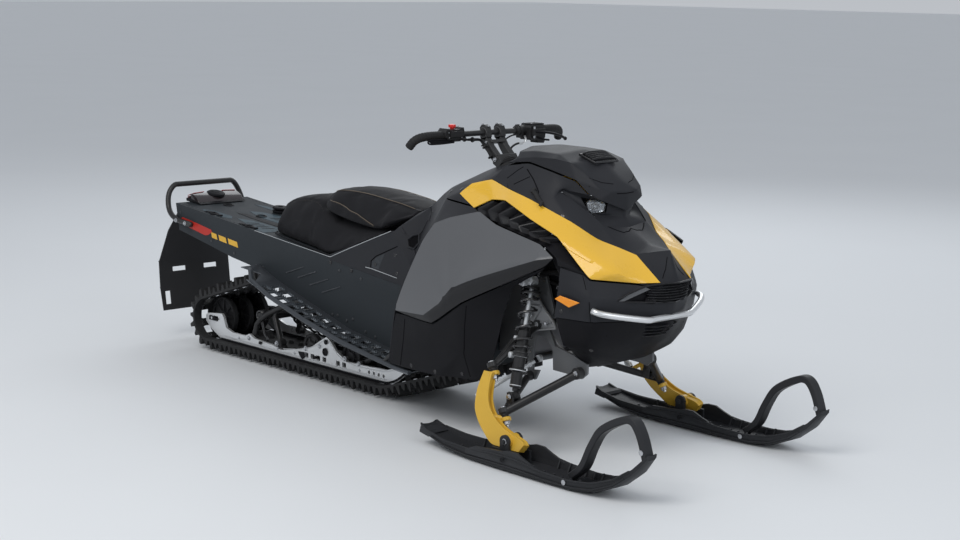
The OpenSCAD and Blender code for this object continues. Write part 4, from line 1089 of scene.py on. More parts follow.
def left_controls():
    b = MB()
    # perch, reservoir box with its lid, park lock and lever
    b.lathe((385, 0, 1080), (0, 1, 0), [(116, 15), (118, 18), (132, 18), (134, 15)], 24)
    b.prism([(376, 118, 1094), (376, 128, 1104), (394, 128, 1104), (394, 118, 1094)], (0, 8, 0))
    b.lathe((385, 0, 1080), (0, 1, 0), [(134, 14), (136, 19), (160, 19), (162, 22), (240, 22), (243, 18)], 28)
    box = [(160, 1050), (166, 1044), (232, 1042), (243, 1052), (244, 1090), (234, 1100), (168, 1101), (160, 1092)]
    b.prism([(366, y, z) for y, z in box], (58, 0, 0))
    b.prism([(374, y, z) for y, z in ((206, 1046), (212, 1031), (246, 1029), (252, 1038), (248, 1050))], (40, 0, 0))
    b.box((428, 200, 1074), (14, 66, 26))
    b.box((385, 145, 1062), (26, 20, 20))
    b.obj("brake_housing", "steering", "control", slot="control_plastic", node="brake_control", bevel=3, seg=3)
    t = MB()
    t.box((395, 202, 1103), (52, 70, 5))
    t.box((395, 202, 1106), (36, 50, 2))
    t.obj("reservoir_lid", "steering", "black", slot="control_plastic", bevel=1.4)
    s = MB()
    for x, y in ((374, 174), (374, 230), (416, 174), (416, 230)):
        s.bolt((x, y, 1105), (0, 0, 1), 3, 2.4, washer=False)
    s.cyl((430, 176, 1052), (430, 176, 1096), 4.5)
    s.bolt((385, 125, 1101), (0, 0, 1), 3.4, 3, washer=False)
    s.obj("brake_screws", "steering", "bolt", slot="bright_rod")
    k = MB()
    k.tube(smooth_path([(430, 182, 1076), (448, 214, 1074), (456, 252, 1068), (452, 300, 1056), (440, 334, 1044)], 6),
           [8 - 3 * i / 24 for i in range(25)], 12, ref=(0, 0, 1), b=[5] * 25)
    k.ball((440, 335, 1044), 7.5, 12)
    k.tube(smooth_path([(420, 196, 1056), (436, 222, 1046), (436, 250, 1042)], 5), 4, 10)
    k.obj("brake_lever", "steering", "black", slot="control_plastic", bevel=0.5)
    h = MB()
    h.tube(smooth_path([(402, 152, 1060), (404, 158, 1046), (404, 150, 1034), (404, 134, 1030), (406, 116, 1034)], 8), 4.2, 12)
    h.obj("brake_hose_metal", "steering", "silver", slot="bright_rod")
    c = MB()
    c.tube(smooth_path([(406, 118, 1034), (412, 92, 1030), (418, 68, 1020), (430, 44, 1000), (446, 30, 978)], 8), 4, 10)
    c.tube(smooth_path([(395, 120, 1066), (392, 90, 1062), (396, 56, 1046), (420, 40, 1010), (446, 34, 976)], 8), 3, 10)
    c.obj("brake_hose", "steering", "cable", slot="control_plastic")


def riser():
    b = MB()
    for s in (-1, 1):
        y0 = s * 36 - 14
        # clamp halves round the bar, with a rounded cap
        b.lathe((385, 0, 1080), (0, 1, 0), [(y0, 18), (y0 + 2, 21), (y0 + 26, 21), (y0 + 28, 18)], 28)
        cap = [(366, 1082), (365, 1098), (374, 1109), (388, 1111), (400, 1104), (406, 1090), (404, 1076)]
        b.prism([(x, y0 + 2, z) for x, z in cap], (0, 24, 0))
        foot = [(364, 1078), (372, 1056), (396, 1052), (408, 1066), (406, 1082)]
        b.prism([(x, y0 + 1, z) for x, z in foot], (0, 26, 0))
    # two legs with a clear gap between them
    for s in (-1, 1):
        leg = [(372, 1062), (400, 1068), (424, 1034), (470, 992), (452, 968), (424, 990), (398, 1022)]
        b.prism([(x, s * 36 - 13, z) for x, z in leg], (0, 26, 0))
    b.prism([(398, -36, 1050), (412, -36, 1056), (420, -36, 1046), (408, -36, 1038)], (0, 72, 0))
    b.prism([(436, -48, 1000), (466, -48, 1006), (486, -48, 976), (470, -48, 952), (440, -48, 968)], (0, 96, 0))
    b.lathe((459, 0, 979), (-0.545, 0, 0.839), [(-58, 24), (-20, 24), (-18, 33), (-6, 33), (-4, 27), (8, 27)], 32)
    b.obj("riser", "steering", "steel_black", slot="black_metal", node="steering_post", bevel=2.2, seg=3)
    s = MB()
    for q in (-1, 1):
        for x, z in ((370, 1105), (400, 1102)):
            s.bolt((x, q * 36, z + 3), (0, 0, 1), 4.4, 4)
        s.bolt((452, q * 49, 986), (0, q, 0), 6.5, 5)
        s.bolt((404, q * 49, 1046), (0, q, 0), 4, 3)
    s.obj("riser_bolts", "steering", "bolt", slot="bright_rod")
    c = MB()
    for k in range(3):
        o = k * 6 - 6
        c.tube(smooth_path([(392 + o * 0.4, -160, 1062 - abs(o) * 0.4), (396, -110, 1058 + o * 0.5), (398 + o * 0.5, -72, 1054 + o * 0.3),
                            (408 + o * 0.4, -60 + o * 0.5, 1032), (430 + o * 0.3, -54 + o * 0.5, 1008), (452, -43 + o * 0.5, 988)], 8),
               2.9, 10)
    c.obj("control_cables", "steering", "cable", slot="control_plastic")
    t = MB()
    for p, d in (((396, -112, 1058), (0, 1, 0)), ((409, -61, 1029), (0.6, 0.1, -0.7)), ((437, -57, 994), (0.6, 0.1, -0.7)), ((393, -150, 1062), (0, 1, 0))):
        t.lathe(V(p) - V(d).normalized() * 2, d, [(0, 9.4), (0.2, 10.2), (3.8, 10.2), (4, 9.4)], 14)
    t.box((405, -70, 1034), (5, 8, 5))
    t.obj("cable_ties", "steering", "control", slot="control_plastic")
    # rubber boot where the post passes through the console
    g = MB()
    g.lathe((459, 0, 979), (-0.545, 0, 0.839), [(-40, 52), (-24, 50), (-20, 44), (-15, 46), (-11, 40), (-6, 41), (-3, 35), (1, 34)], 36)
    g.obj("post_boot", "chassis", "rubber", slot="black_plastic")


grips()
right_controls()
left_controls()
riser()

# -------------------------------------------------- front suspension and skis
KU, KL, TO = V(828, -392, 288), V(908, -410, 142), V(752, -392, 196)
KD = (KU - KL).normalized()
TI = V(846, -190, 318)
ST, SB = V(852, -236, 602), V(888, -356, 214)
UB, LB = KU + KD * 26, KL + KD * 26


def both_sides(make, name, body, mat, slot=None, node=None, **kw):
    """body and node names end in right or left; the left one is the mirror image"""
    for side, s in (("right", 1), ("left", -1)):
        b = MB()
        make(b)
        if s < 0:
            b.v = [(x, -y, z) for x, y, z in b.v]
        b.obj(name + "_" + side, body + "_" + side, mat, slot=slot, node=(node + "_" + side) if node else None, **kw)


def band(b, pts, ref, hw, ht, ch=2.5):
    """a bar of chamfered rectangular section; hw is half its size along ref, ht across"""
    P = [V(p) for p in pts]
    m = len(P)
    prof = [(-1, -1, 1, 0), (-1, -1, 0, 1), (-1, 1, 0, -1), (-1, 1, 1, 0), (1, 1, -1, 0), (1, 1, 0, -1), (1, -1, 0, 1), (1, -1, -1, 0)]
    vs, fs = [], []
    for i, p in enumerate(P):
        t = (P[min(i + 1, m - 1)] - P[max(i - 1, 0)]).normalized()
        r = (V(ref) - t * V(ref).dot(t)).normalized()
        u = t.cross(r)
        w = hw[i] if isinstance(hw, (list, tuple)) else hw
        h = ht[i] if isinstance(ht, (list, tuple)) else ht
        for sx, sy, cx, cy in prof:
            vs.append(p + r * (sx * w + cx * ch) + u * (sy * h + cy * ch))
    for j in range(m - 1):
        for k in range(8):
            k2 = (k + 1) % 8
            fs.append((j * 8 + k, j * 8 + k2, (j + 1) * 8 + k2, (j + 1) * 8 + k))
    fs += [tuple(range(7, -1, -1)), tuple((m - 1) * 8 + k for k in range(8))]
    b.add(vs, fs)


def helix(a, d, r, turns, length, n=22, close=0.6):
    d = V(d).normalized()
    u = d.orthogonal().normalized()
    w = d.cross(u)
    out = []
    m = int(turns * n)
    for i in range(m + 1):
        q = 2 * math.pi * i / n
        # the end coils lie closer together
        t = i / m
        e = t - close * math.sin(2 * math.pi * t) / (2 * math.pi)
        out.append(V(a) + d * (length * e) + (u * math.cos(q) + w * math.sin(q)) * r)
    return out


def shocks():
    ax = (SB - ST).normalized()
    L = (SB - ST).length
    on = lambda t: ST + (SB - ST) * t
    b = MB()
    b.lathe(on(0.045), ax, [(0, 14), (1, 27), (6, 29), (9, 29), (10, 24)], 32)
    b.lathe(on(0.40), ax, [(0, 12), (1, 17), (12, 19), (14, 21.5), (0.355 * L, 21.5), (0.36 * L, 24)], 32)
    b.lathe(on(0.615), ax, [(0, 24), (1, 29), (6, 29.5), (7, 27), (12, 27), (13, 29), (18, 29), (19, 24)], 36)
    b.lathe(on(0.76), ax, [(0, 22), (2, 29), (9, 29), (11, 23), (14, 20), (0.165 * L, 20), (0.17 * L, 17)], 32)
    b.lathe(on(0.925), ax, [(0, 9), (14, 8)], 20)
    b.lathe(SB - V(0, 11, 0), (0, 1, 0), [(0, 12), (1, 15), (21, 15), (22, 12)], 24)
    b.both()
    b.obj("damper_bodies", "chassis", "steel_black", slot="shock_black", node="front_shocks", bevel=0.6)
    s = MB()
    s.tube(helix(on(0.075), ax, 30.5, 6.6, 0.53 * L), 4.8, 10)
    s.both()
    s.obj("front_coils", "chassis", "spring", slot="shock_black", smooth=True)
    c = MB()
    c.cyl(on(0.0), on(0.42), 7.5, 24)
    c.lathe(ST - V(0, 13, 0), (0, 1, 0), [(0, 13), (1, 17), (25, 17), (26, 13)], 32)
    c.lathe(ST - V(0, 14, 0), (0, -1, 0), [(0, 10), (2, 12.5), (40, 12.5), (42, 9)], 28)
    c.prism([(842, -262, 586), (864, -262, 588), (876, -262, 612), (866, -262, 628), (846, -262, 620)], (0, 10, 0))
    for t, r, h in ((0.655, 25, 3), (0.775, 30.5, 3), (0.905, 21, 3)):
        c.lathe(on(t), ax, [(0, r - 1), (0.5, r), (h, r), (h + 0.5, r - 1)], 32)
    c.lathe(on(0.64) + V(-24, -10, -4), V(-0.3, -1, 0.1), [(0, 11), (16, 11), (18, 8)], 18)
    c.lathe(on(0.50) + V(-22, -8, 0), V(-0.3, -1, 0.1), [(0, 8), (10, 8), (12, 5)], 18)
    c.both()
    c.obj("damper_shafts", "chassis", "eye", slot="bright_rod", bevel=0.5)
    k = MB()
    k.bolt(ST + V(0, -56, 0), (0, -1, 0), 8, 5, washer=False)
    k.lathe(ST + V(0, -62, 0), (0, -1, 0), [(0, 5), (6, 5), (7, 3)], 12)
    k.bolt(SB + V(0, -23, 0), (0, -1, 0), 8, 6)
    k.both()
    k.obj("damper_bolts", "chassis", "bolt", slot="bright_rod")


def arm_details():
    b = MB()
    for a, k in ((UB, KU), (LB, KL)):
        # moulded boot round the ball and the housing's eye
        b.lathe(a - KD * 11, KD, [(-9, 9), (-8, 14), (-5, 15), (-3, 12.5), (0, 16), (3, 13.5), (6, 17)], 24)
        b.lathe(a - KD * 4, KD, [(0, 15), (2, 18.5), (18, 18.5), (20, 15)], 28)
    lf, lr = V(1036, -188, 296), V(790, -188, 244)
    g = [LB + V(0, 8, 4), LB.lerp(lf, 0.30), LB.lerp(lf, 0.22).lerp(LB.lerp(lr, 0.22), 0.5) + V(0, 24, 8), LB.lerp(lr, 0.30)]
    b.sheet([LB + (lf - LB).normalized() * 16, LB.lerp(lf, 0.36), LB.lerp(lf, 0.24).lerp(LB.lerp(lr, 0.24), 0.5),
             LB.lerp(lr, 0.36), LB + (lr - LB).normalized() * 16], [(0, 1, 2), (0, 2, 4), (2, 3, 4)], 5)
    uf, ur = V(838, -188, 440), V(778, -188, 428)
    b.cyl(UB.lerp(uf, 0.72), UB.lerp(ur, 0.72), 8)
    # bush sleeves at the inner ends
    for p, r in ((lf, 21), (lr, 18), (uf, 16), (ur, 16)):
        b.lathe(p - V(0, 14, 0), (0, 1, 0), [(0, r - 2), (1, r), (27, r), (28, r - 2)], 28)
    # damper's clevis on the lower arm
    for y in (-374, -341):
        b.prism([(870, y, 178), (908, y, 178), (904, y, 208), (896, y, 230), (880, y, 230), (872, y, 208)], (0, 6, 0))
    b.tube(smooth_path([(884, -378, 176), (915, -350, 192), (946, -330, 210)], 4), 10, 10)
    b.both()
    b.obj("arm_ends", "chassis", "steel_black", slot="black_metal", bevel=0.8)
    c = MB()
    for a, k in ((UB, KU), (LB, KL)):
        c.lathe(a + KD * 16, KD, [(0, 12), (3, 12), (4, 8), (4.5, 0.1)], 20)
    for p in (lf, lr, uf, ur):
        c.bolt(p - V(0, 15, 0), (0, -1, 0), 8, 6)
    c.both()
    c.obj("arm_bolts", "chassis", "bolt", slot="bright_rod")


def spindles():
    def body(b):
        prof = [((800, 302), (842, 302), 2), ((790, 262), (839, 274), 8), ((785, 224), (843, 224), 12), ((792, 170), (858, 190), 13),
                ((820, 128), (885, 162), 13), ((862, 92), (930, 134), 12), ((905, 64), (975, 119), 9), ((950, 61), (1012, 110), 5),
                ((1010, 60), (1046, 101), 2), ((1042, 61), (1060, 88), 1)]
        dense = catmull_rows([[p[0][0], p[0][1], p[1][0], p[1][1], p[2]] for p in prof], 4)
        vs, fs = [], []
        tilt = Matrix.Rotation(math.radians(-15), 3, "X")
        piv = V(0, -457, 92)
        sect = [(0, -14), (0, 14), (1, 14), (1, 8.5), (2, 7), (2, -7), (1, -8.5), (1, -14)]
        n = len(sect)
        for x0, z0, x1, z1, dep in dense:
            a, c = V(x0, 0, z0 - 92), V(x1, 0, z1 - 92)
            d = (c - a).normalized()
            for q, y in sect:
                p = a if q == 0 else (c if q == 1 else c - d * dep)
                vs.append(piv + tilt @ V(p.x, y, p.z))
        m = len(dense)
        for j in range(m - 1):
            for k in range(n):
                k2 = (k + 1) % n
                fs.append((j * n + k, j * n + k2, (j + 1) * n + k2, (j + 1) * n + k))
        for base in (0, (m - 1) * n):
            i = [base + k for k in range(n)]
            fs += [(i[0], i[1], i[2], i[7]), (i[2], i[3], i[4], i[5], i[6], i[7])]
        b.add(vs, fs)
        # lugs for the ball joints and the steering arm
        for k in (KU, KL):
            b.lathe(k - KD * 7, KD, [(0, 17), (1.5, 19), (12.5, 19), (14, 17)], 36)
        b.cyl(KU - KD * 5 + V(-2, 2, 0), V(820, -418, 286), 12)
        b.cyl(KL + V(0, 0, 0), V(872, -434, 148), 11)
        b.cyl(V(794, -426, 206), TO - KD * 19, 8)
        b.lathe(TO - KD * 25, KD, [(0, 14), (1, 15.5), (12, 15.5), (13, 14)], 28)
        b.lathe(V(985, -482, 92), (0, 1, 0), [(0, 20), (1.5, 22.5), (48.5, 22.5), (50, 20)], 32)

    both_sides(body, "spindle_casting", "knuckle", "yellow_cast", slot="yellow_casting", node="spindle", bevel=2.0, seg=3)

    def nuts(b):
        for k in (KU, KL):
            b.lathe(k - KD * 7, -KD, [(0, 13), (2, 13), (2.2, 11.5), (12, 11.5), (13.5, 9)], 6)
            b.lathe(k - KD * 20, -KD, [(0, 6), (7, 6), (8, 4)], 14)
            b.lathe(k + KD * 7, KD, [(0, 10), (3, 10), (4, 7)], 20)
        b.lathe(TO - KD * 25, -KD, [(0, 11), (1.5, 11), (1.6, 9), (9, 9), (10, 7)], 6)
        b.lathe(V(985, -482, 92), (0, -1, 0), [(0, 15), (2, 15), (2.2, 12), (10, 12), (11.5, 9)], 6)

    both_sides(nuts, "spindle_nuts", "knuckle", "bolt", slot="bright_rod", bevel=0.4)


def tie_rods():
    v = (TI - TO).normalized()

    def rod(b):
        b.lathe(TO - KD * 9, KD, [(0, 11), (1.5, 13.5), (16.5, 13.5), (18, 11)], 28)
        b.cyl(TO + v * 4, TO + v * 30, 8, 16, 9.5)
        b.lathe(TO + v * 28, v, [(0, 9), (1, 10.5), (10, 10.5), (11, 9)], 6)
        b.cyl(TO + v * 26, TI - v * 4, 7, 24)
        b.lathe(TI - v * 46, v, [(0, 9), (1, 10.5), (10, 10.5), (11, 9)], 6)
        b.lathe(TI - V(0, 8, 0), (0, 1, 0), [(0, 11), (1, 13), (15, 13), (16, 11)], 24)
        b.lathe(TO + KD * 9, KD, [(0, 9), (3, 9), (4, 6)], 20)

    both_sides(rod, "tie_rod_bar", "link", "eye", slot="bright_rod", node="tie_rod", bevel=0.5)

    def boot(b):
        b.lathe(TO - KD * 11, KD, [(-4, 8), (-3, 11), (-1, 12), (1, 10), (3, 13)], 24)
        b.lathe(TI - v * 20, v, [(0, 8), (2, 11), (5, 10), (8, 12), (11, 11)], 24)

    both_sides(boot, "tie_rod_boots", "link", "black", slot="black_plastic")


def skis():
    S = [(559, 52, 24, 40), (600, 34, 26, 46), (700, 12, 34, 58), (830, 0, 44, 66), (960, 0, 56, 72), (1080, 0, 56, 72),
         (1200, 0, 42, 72), (1330, 0, 38, 68), (1420, 12, 36, 60), (1500, 46, 30, 50), (1570, 98, 24, 38), (1620, 156, 18, 24)]

    def at(x):
        for p, q in zip(S, S[1:]):
            if x <= q[0]:
                k = (x - p[0]) / (q[0] - p[0])
                return [a + (c - a) * k for a, c in zip(p, q)]
        return list(S[-1])

    Y = -457

    def trim(b):
        # flat-band loop that grows out of the ski's nose
        loop = smooth_path([(1284, Y, 34), (1332, Y, 76), (1368, Y, 150), (1412, Y, 214), (1496, Y, 262), (1544, Y, 268), (1578, Y, 226), (1604, Y, 156)], 6)
        n = len(loop)
        hw = [26 - 6 * min(1, i / (n * 0.35)) for i in range(n)]
        ht = [13 - 3 * abs(i / n - 0.5) for i in range(n)]
        band(b, loop, (0, 1, 0), hw, ht, 3)
        # tail cap
        for s in (-1, 1):
            b.prism([(554, Y + s * 41, 42), (560, Y + s * 41, 64), (616, Y + s * 47, 60), (632, Y + s * 49, 46), (610, Y + s * 48, 36)], (0, -s * 12, 0))
        b.prism([(554, Y - 40, 44), (560, Y - 40, 64), (616, Y - 40, 60), (626, Y - 40, 50)], (0, 80, 0))
        # posts along the side walls, inside the trough
        for s in (-1, 1):
            for x in (800, 846, 883, 927, 1160, 1209, 1253, 1288, 1327, 1366):
                _, z, h, w = at(x)
                y0 = Y + s * (w * 0.62)
                b.prism([(x - 3, y0, z + 16), (x - 3, Y + s * (w - 5), z + 16), (x - 3, Y + s * (w - 4), z + h + 5),
                         (x - 3, Y + s * (w - 11), z + h + 6)], (6, 0, 0))
            # raised wall beside the pivot
            o = [(830, 42), (880, 62), (1010, 70), (1040, 78), (1080, 78), (1120, 62), (1180, 42), (1180, 26), (830, 26)]
            b.prism([(x, Y + s * 70, z) for x, z in o], (0, -s * 9, 0))
            # moulded line along the flank, and the keel's edge
            b.tube([(x, Y + s * (at(x)[3] + 0.6), at(x)[1] + at(x)[2] * 0.42) for x in range(620, 1560, 40)], 2.6, 6)
            b.tube([(x, Y + s * (at(x)[3] - 0.4), at(x)[1] + at(x)[2] - 1) for x in range(600, 1590, 30)], 3.6, 8)
        # rubber block under the saddle
        b.prism([(935, Y - 24, 18), (1036, Y - 24, 18), (1028, Y - 24, 34), (943, Y - 24, 34)], (0, 48, 0))

    both_sides(trim, "ski_trim", "runner", "ski", slot="ski_plastic", bevel=1.6)

    def metal(b):
        for s in (-1, 1):
            b.lathe((1303, Y + s * 69, 27), (0, s, 0), [(0, 9), (2, 9), (3, 6), (3.4, 0.1)], 20)
            b.lathe((1592, Y + s * 19.5, 178), (0, s, 0), [(0, 9), (2.5, 9), (3.6, 6), (4, 0.1)], 20)
            b.lathe((1000, Y + s * 80, 92), (0, s, 0), [(-3, 0.1), (-2.9, 0.2)], 6)
        # wear bar under the keel
        b.tube([(820, Y, 2.6), (900, Y, 2.2), (1300, Y, 2.2), (1400, Y, 8)], 2.2, 8)

    both_sides(metal, "ski_bolts", "runner", "bolt", slot="bright_rod")

    def dark(b):
        for s in (-1, 1):
            b.lathe((1021, Y + s * 79.6, 44), (0, s, 0), [(0, 8.5), (0.6, 8.5), (0.7, 6.5), (-4, 6), (-4.2, 0.1)], 20)

    both_sides(dark, "ski_sockets", "runner", "black", slot="black_plastic")


M["spring"] = material("spring_black", (0.03, 0.03, 0.032), 0.24, vary=0.1, vscale=20, bump=0.1, coat=0.8, coat_rough=0.1)
shocks()
arm_details()
spindles()
tie_rods()
skis()

# ------------------------------------------------------ track, rails, wheels
def track_loop():
    W = [(-1240, 144, 89), (-690, 351, 62), (430, 300, 92), (-60, 245, 190)]

    def tang(a, c):
        dx, dz = c[0] - a[0], c[1] - a[1]
        return math.degrees(math.atan2(dz, dx)) + 90 + math.degrees(math.asin((c[2] - a[2]) / math.hypot(dx, dz)))

    A = [270, tang(W[0], W[1]), tang(W[1], W[2]), tang(W[2], W[3]), -90]
    P = []
    for c, a0, a1, n in ((W[0], A[0], A[1], 26), (W[1], A[1], A[2], 8), (W[2], A[2], A[3], 20), (W[3], A[3], A[4], 10)):
        for i in range(n + 1):
            a = a0 + (a1 - a0) * i / n
            P.append((c[0] + c[2] * math.cos(math.radians(a)), c[1] + c[2] * math.sin(math.radians(a)), a))
    # the long straights, cut into shorter lengths
    Q = []
    for i, p in enumerate(P):
        q = P[(i + 1) % len(P)]
        d = math.hypot(q[0] - p[0], q[1] - p[1])
        a1 = -90 if i == len(P) - 1 else q[2]
        k = max(1, int(d / 60))
        for j in range(k):
            t = j / k
            Q.append((p[0] + (q[0] - p[0]) * t, p[1] + (q[1] - p[1]) * t, p[2] + (a1 - p[2]) * t))
    S = [0]
    for i in range(len(Q)):
        q = Q[(i + 1) % len(Q)]
        S.append(S[-1] + math.hypot(q[0] - Q[i][0], q[1] - Q[i][1]))
    return Q, S


def track():
    Q, S = track_loop()
    total = S[-1]

    def at(s, o, y):
        s %= total
        lo, hi = 0, len(Q)
        while hi - lo > 1:
            m = (lo + hi) // 2
            if S[m] <= s:
                lo = m
            else:
                hi = m
        p, q = Q[lo], Q[(lo + 1) % len(Q)]
        t = (s - S[lo]) / max(1e-6, S[lo + 1] - S[lo])
        a1 = -90 if lo == len(Q) - 1 else q[2]
        a = math.radians(p[2] + (a1 - p[2]) * t)
        return V(p[0] + (q[0] - p[0]) * t + o * math.cos(a), y, p[1] + (q[1] - p[1]) * t + o * math.sin(a))

    b = MB()

    def strip(y0, y1, o0, o1):
        n = len(Q)
        vs, fs = [], []
        for x, z, a in Q:
            c, s = math.cos(math.radians(a)), math.sin(math.radians(a))
            for o, y in ((o0, y0), (o0, y1), (o1, y1), (o1, y0)):
                vs.append((x + o * c, y, z + o * s))
        for i in range(n):
            j = (i + 1) % n
            for k in range(4):
                k2 = (k + 1) % 4
                fs.append((i * 4 + k, i * 4 + k2, j * 4 + k2, j * 4 + k))
        b.add(vs, fs)

    def block(s, y0, y1, o0, o1, l0, l1, inset=0.0, ripple=0.0):
        """a tapered block standing on the belt, between offsets o0 and o1"""
        vs = []
        for o, l, k in ((o0, l0, 0), (o1, l1, inset)):
            for ds, y in ((-l / 2, y0 + k), (l / 2, y0 + k), (l / 2, y1 - k), (-l / 2, y1 - k)):
                vs.append(at(s + ds, o, y))
        b.add(vs, [(3, 2, 1, 0), (4, 5, 6, 7), (0, 1, 5, 4), (1, 2, 6, 5), (2, 3, 7, 6), (3, 0, 4, 7)])

    for y0, y1 in ((-190, -150), (-112, -52), (-34, 34), (52, 112), (150, 190)):
        strip(y0, y1, 0, 8.5)
    for y0, y1 in ((-52, -34), (34, 52)):
        strip(y0, y1, 1, 7)
    for y0, y1 in ((-190.3, -178), (178, 190.3)):
        strip(y0, y1, 8.4, 10)
    lugs = 56
    pitch = total / lugs
    for k in range(lugs):
        s = (k + 0.5) * pitch
        odd = k % 2
        for sg in (-1, 1):
            a, c = sorted((sg * 112, sg * 150))
            block(s, a - 0.5, c + 0.5, 0.4, 8.2, pitch * 0.46, pitch * 0.44)
        # rod across the belt under each lug
        block(s, -190, 190, 8, 13, 26, 20)
        if odd:
            spans = ((-190, -126, 36), (-98, -20, 44), (20, 98, 44), (126, 190, 36))
        else:
            spans = ((-190, -158, 34), (-146, -64, 45), (-42, 42, 46), (64, 146, 45), (158, 190, 34))
        for y0, y1, h in spans:
            block(s, y0, y1, 9, 8.5 + h * 0.55, 21, 15, 1.2)
            block(s, y0 + 1.2, y1 - 1.2, 8.5 + h * 0.54, 8.5 + h, 15, 9, 3.0)
            # buttresses
            for y in (y0 + (y1 - y0) * 0.25, y0 + (y1 - y0) * 0.75):
                for d in (-1, 1):
                    block(s + d * 11, y - 3.5, y + 3.5, 8.6, 26, 12, 3, 0.8)
        for sg in (-1, 1):
            y0, y1 = sorted((sg * 190, sg * 164))
            block(s + pitch / 2, y0, y1, 8.4, 33, 26, 8, 2)
            y0, y1 = sorted((sg * 36, sg * 50))
            block(s, y0, y1, 0.4, -13, 24, 12, 2)
    b.obj("track_belt", "chassis", "rubber", slot="track_rubber", node="track", bevel=0, smooth=False)
    m = MB()
    keep = b
    b = m
    for k in range(lugs):
        s = (k + 0.5) * pitch
        for sg in (-1, 1):
            y0, y1 = sorted((sg * 151, sg * 139))
            block(s + pitch / 2 * 0, y0, y1, -0.4, -2.6, 22, 20, 0.6)
    b = keep
    m2 = m
    m2.obj("track_clips", "chassis", "steel", slot="rail_alloy", smooth=False)


def wheels():
    def wheel(b, t, x, y, z, r, w, spokes=8):
        c = V(x, y, z)
        h = w / 2
        d = (0, 1, 0)
        rim = [(-h, r - 11), (-h, r - 3), (h, r - 3), (h, r - 11), (h - 4, r - 15), (-h + 4, r - 15), (-h, r - 11)]
        b.lathe(c, d, rim, 48, caps=False)
        b.lathe(c, d, [(-2.5, 18), (-2.5, r - 13), (2.5, r - 13), (2.5, 18)], 48, caps=False)
        b.lathe(c, d, [(-h - 3, 13), (-h - 2, 23), (-h + 4, 26), (h - 4, 26), (h + 2, 23), (h + 3, 13)], 32)
        for k in range(spokes):
            q = 2 * math.pi * k / spokes
            u = V(math.cos(q), 0, math.sin(q))
            R = Matrix.Rotation(-q, 3, "Y")
            b.box(c + u * ((r - 14 + 22) / 2), (r - 14 - 20, w - 5, 5), R)
        t.lathe(c, d, [(-h - 0.4, r - 8), (-h, r - 2), (-h + 2.5, r - 0.4), (h - 2.5, r - 0.4), (h, r - 2), (h + 0.4, r - 8)], 64, caps=False)

    b, t = MB(), MB()
    for y in (-84, 0, 84):
        wheel(b, t, -1240, y, 144, 88, 22)
    b.obj("rear_wheels", "chassis", "wheel", slot="wheel_plastic", node="rear_axle", bevel=0.8)
    t.obj("rear_tyres", "chassis", "rubber", slot="wheel_plastic")
    b, t = MB(), MB()
    for x in (-565, -305):
        for y in (-110, 110):
            wheel(b, t, x, y, 115, 59, 20, 6)
    for y in (-70, 70):
        wheel(b, t, -690, y, 351, 60.5, 20, 6)
    b.obj("idlers", "chassis", "wheel", slot="wheel_plastic", node="idler_wheels", bevel=0.8)
    t.obj("idler_tyres", "chassis", "rubber", slot="wheel_plastic")
    a = MB()
    a.cyl((-1240, -138, 144), (-1240, 138, 144), 11)
    for x, y, z in ((-565, 139, 115), (-305, 139, 115)):
        a.cyl((x, -y, z), (x, y, z), 9)
    a.cyl((-690, -190, 351), (-690, 190, 351), 9)
    a.obj("axles", "chassis", "steel_black", slot="black_metal")
    n = MB()
    for x, z in ((-1240, 144), (-565, 115), (-305, 115), (-966, 96), (-766, 104), (-470, 140), (-215, 108)):
        n.bolt((x, -151, z), (0, -1, 0), 8, 6)
    for x in (-1040, -760, -640, -210):
        n.bolt((x, -151, 84), (0, -1, 0), 5, 3)
    n.both()
    n.obj("rail_bolts", "chassis", "bolt", slot="bright_rod")


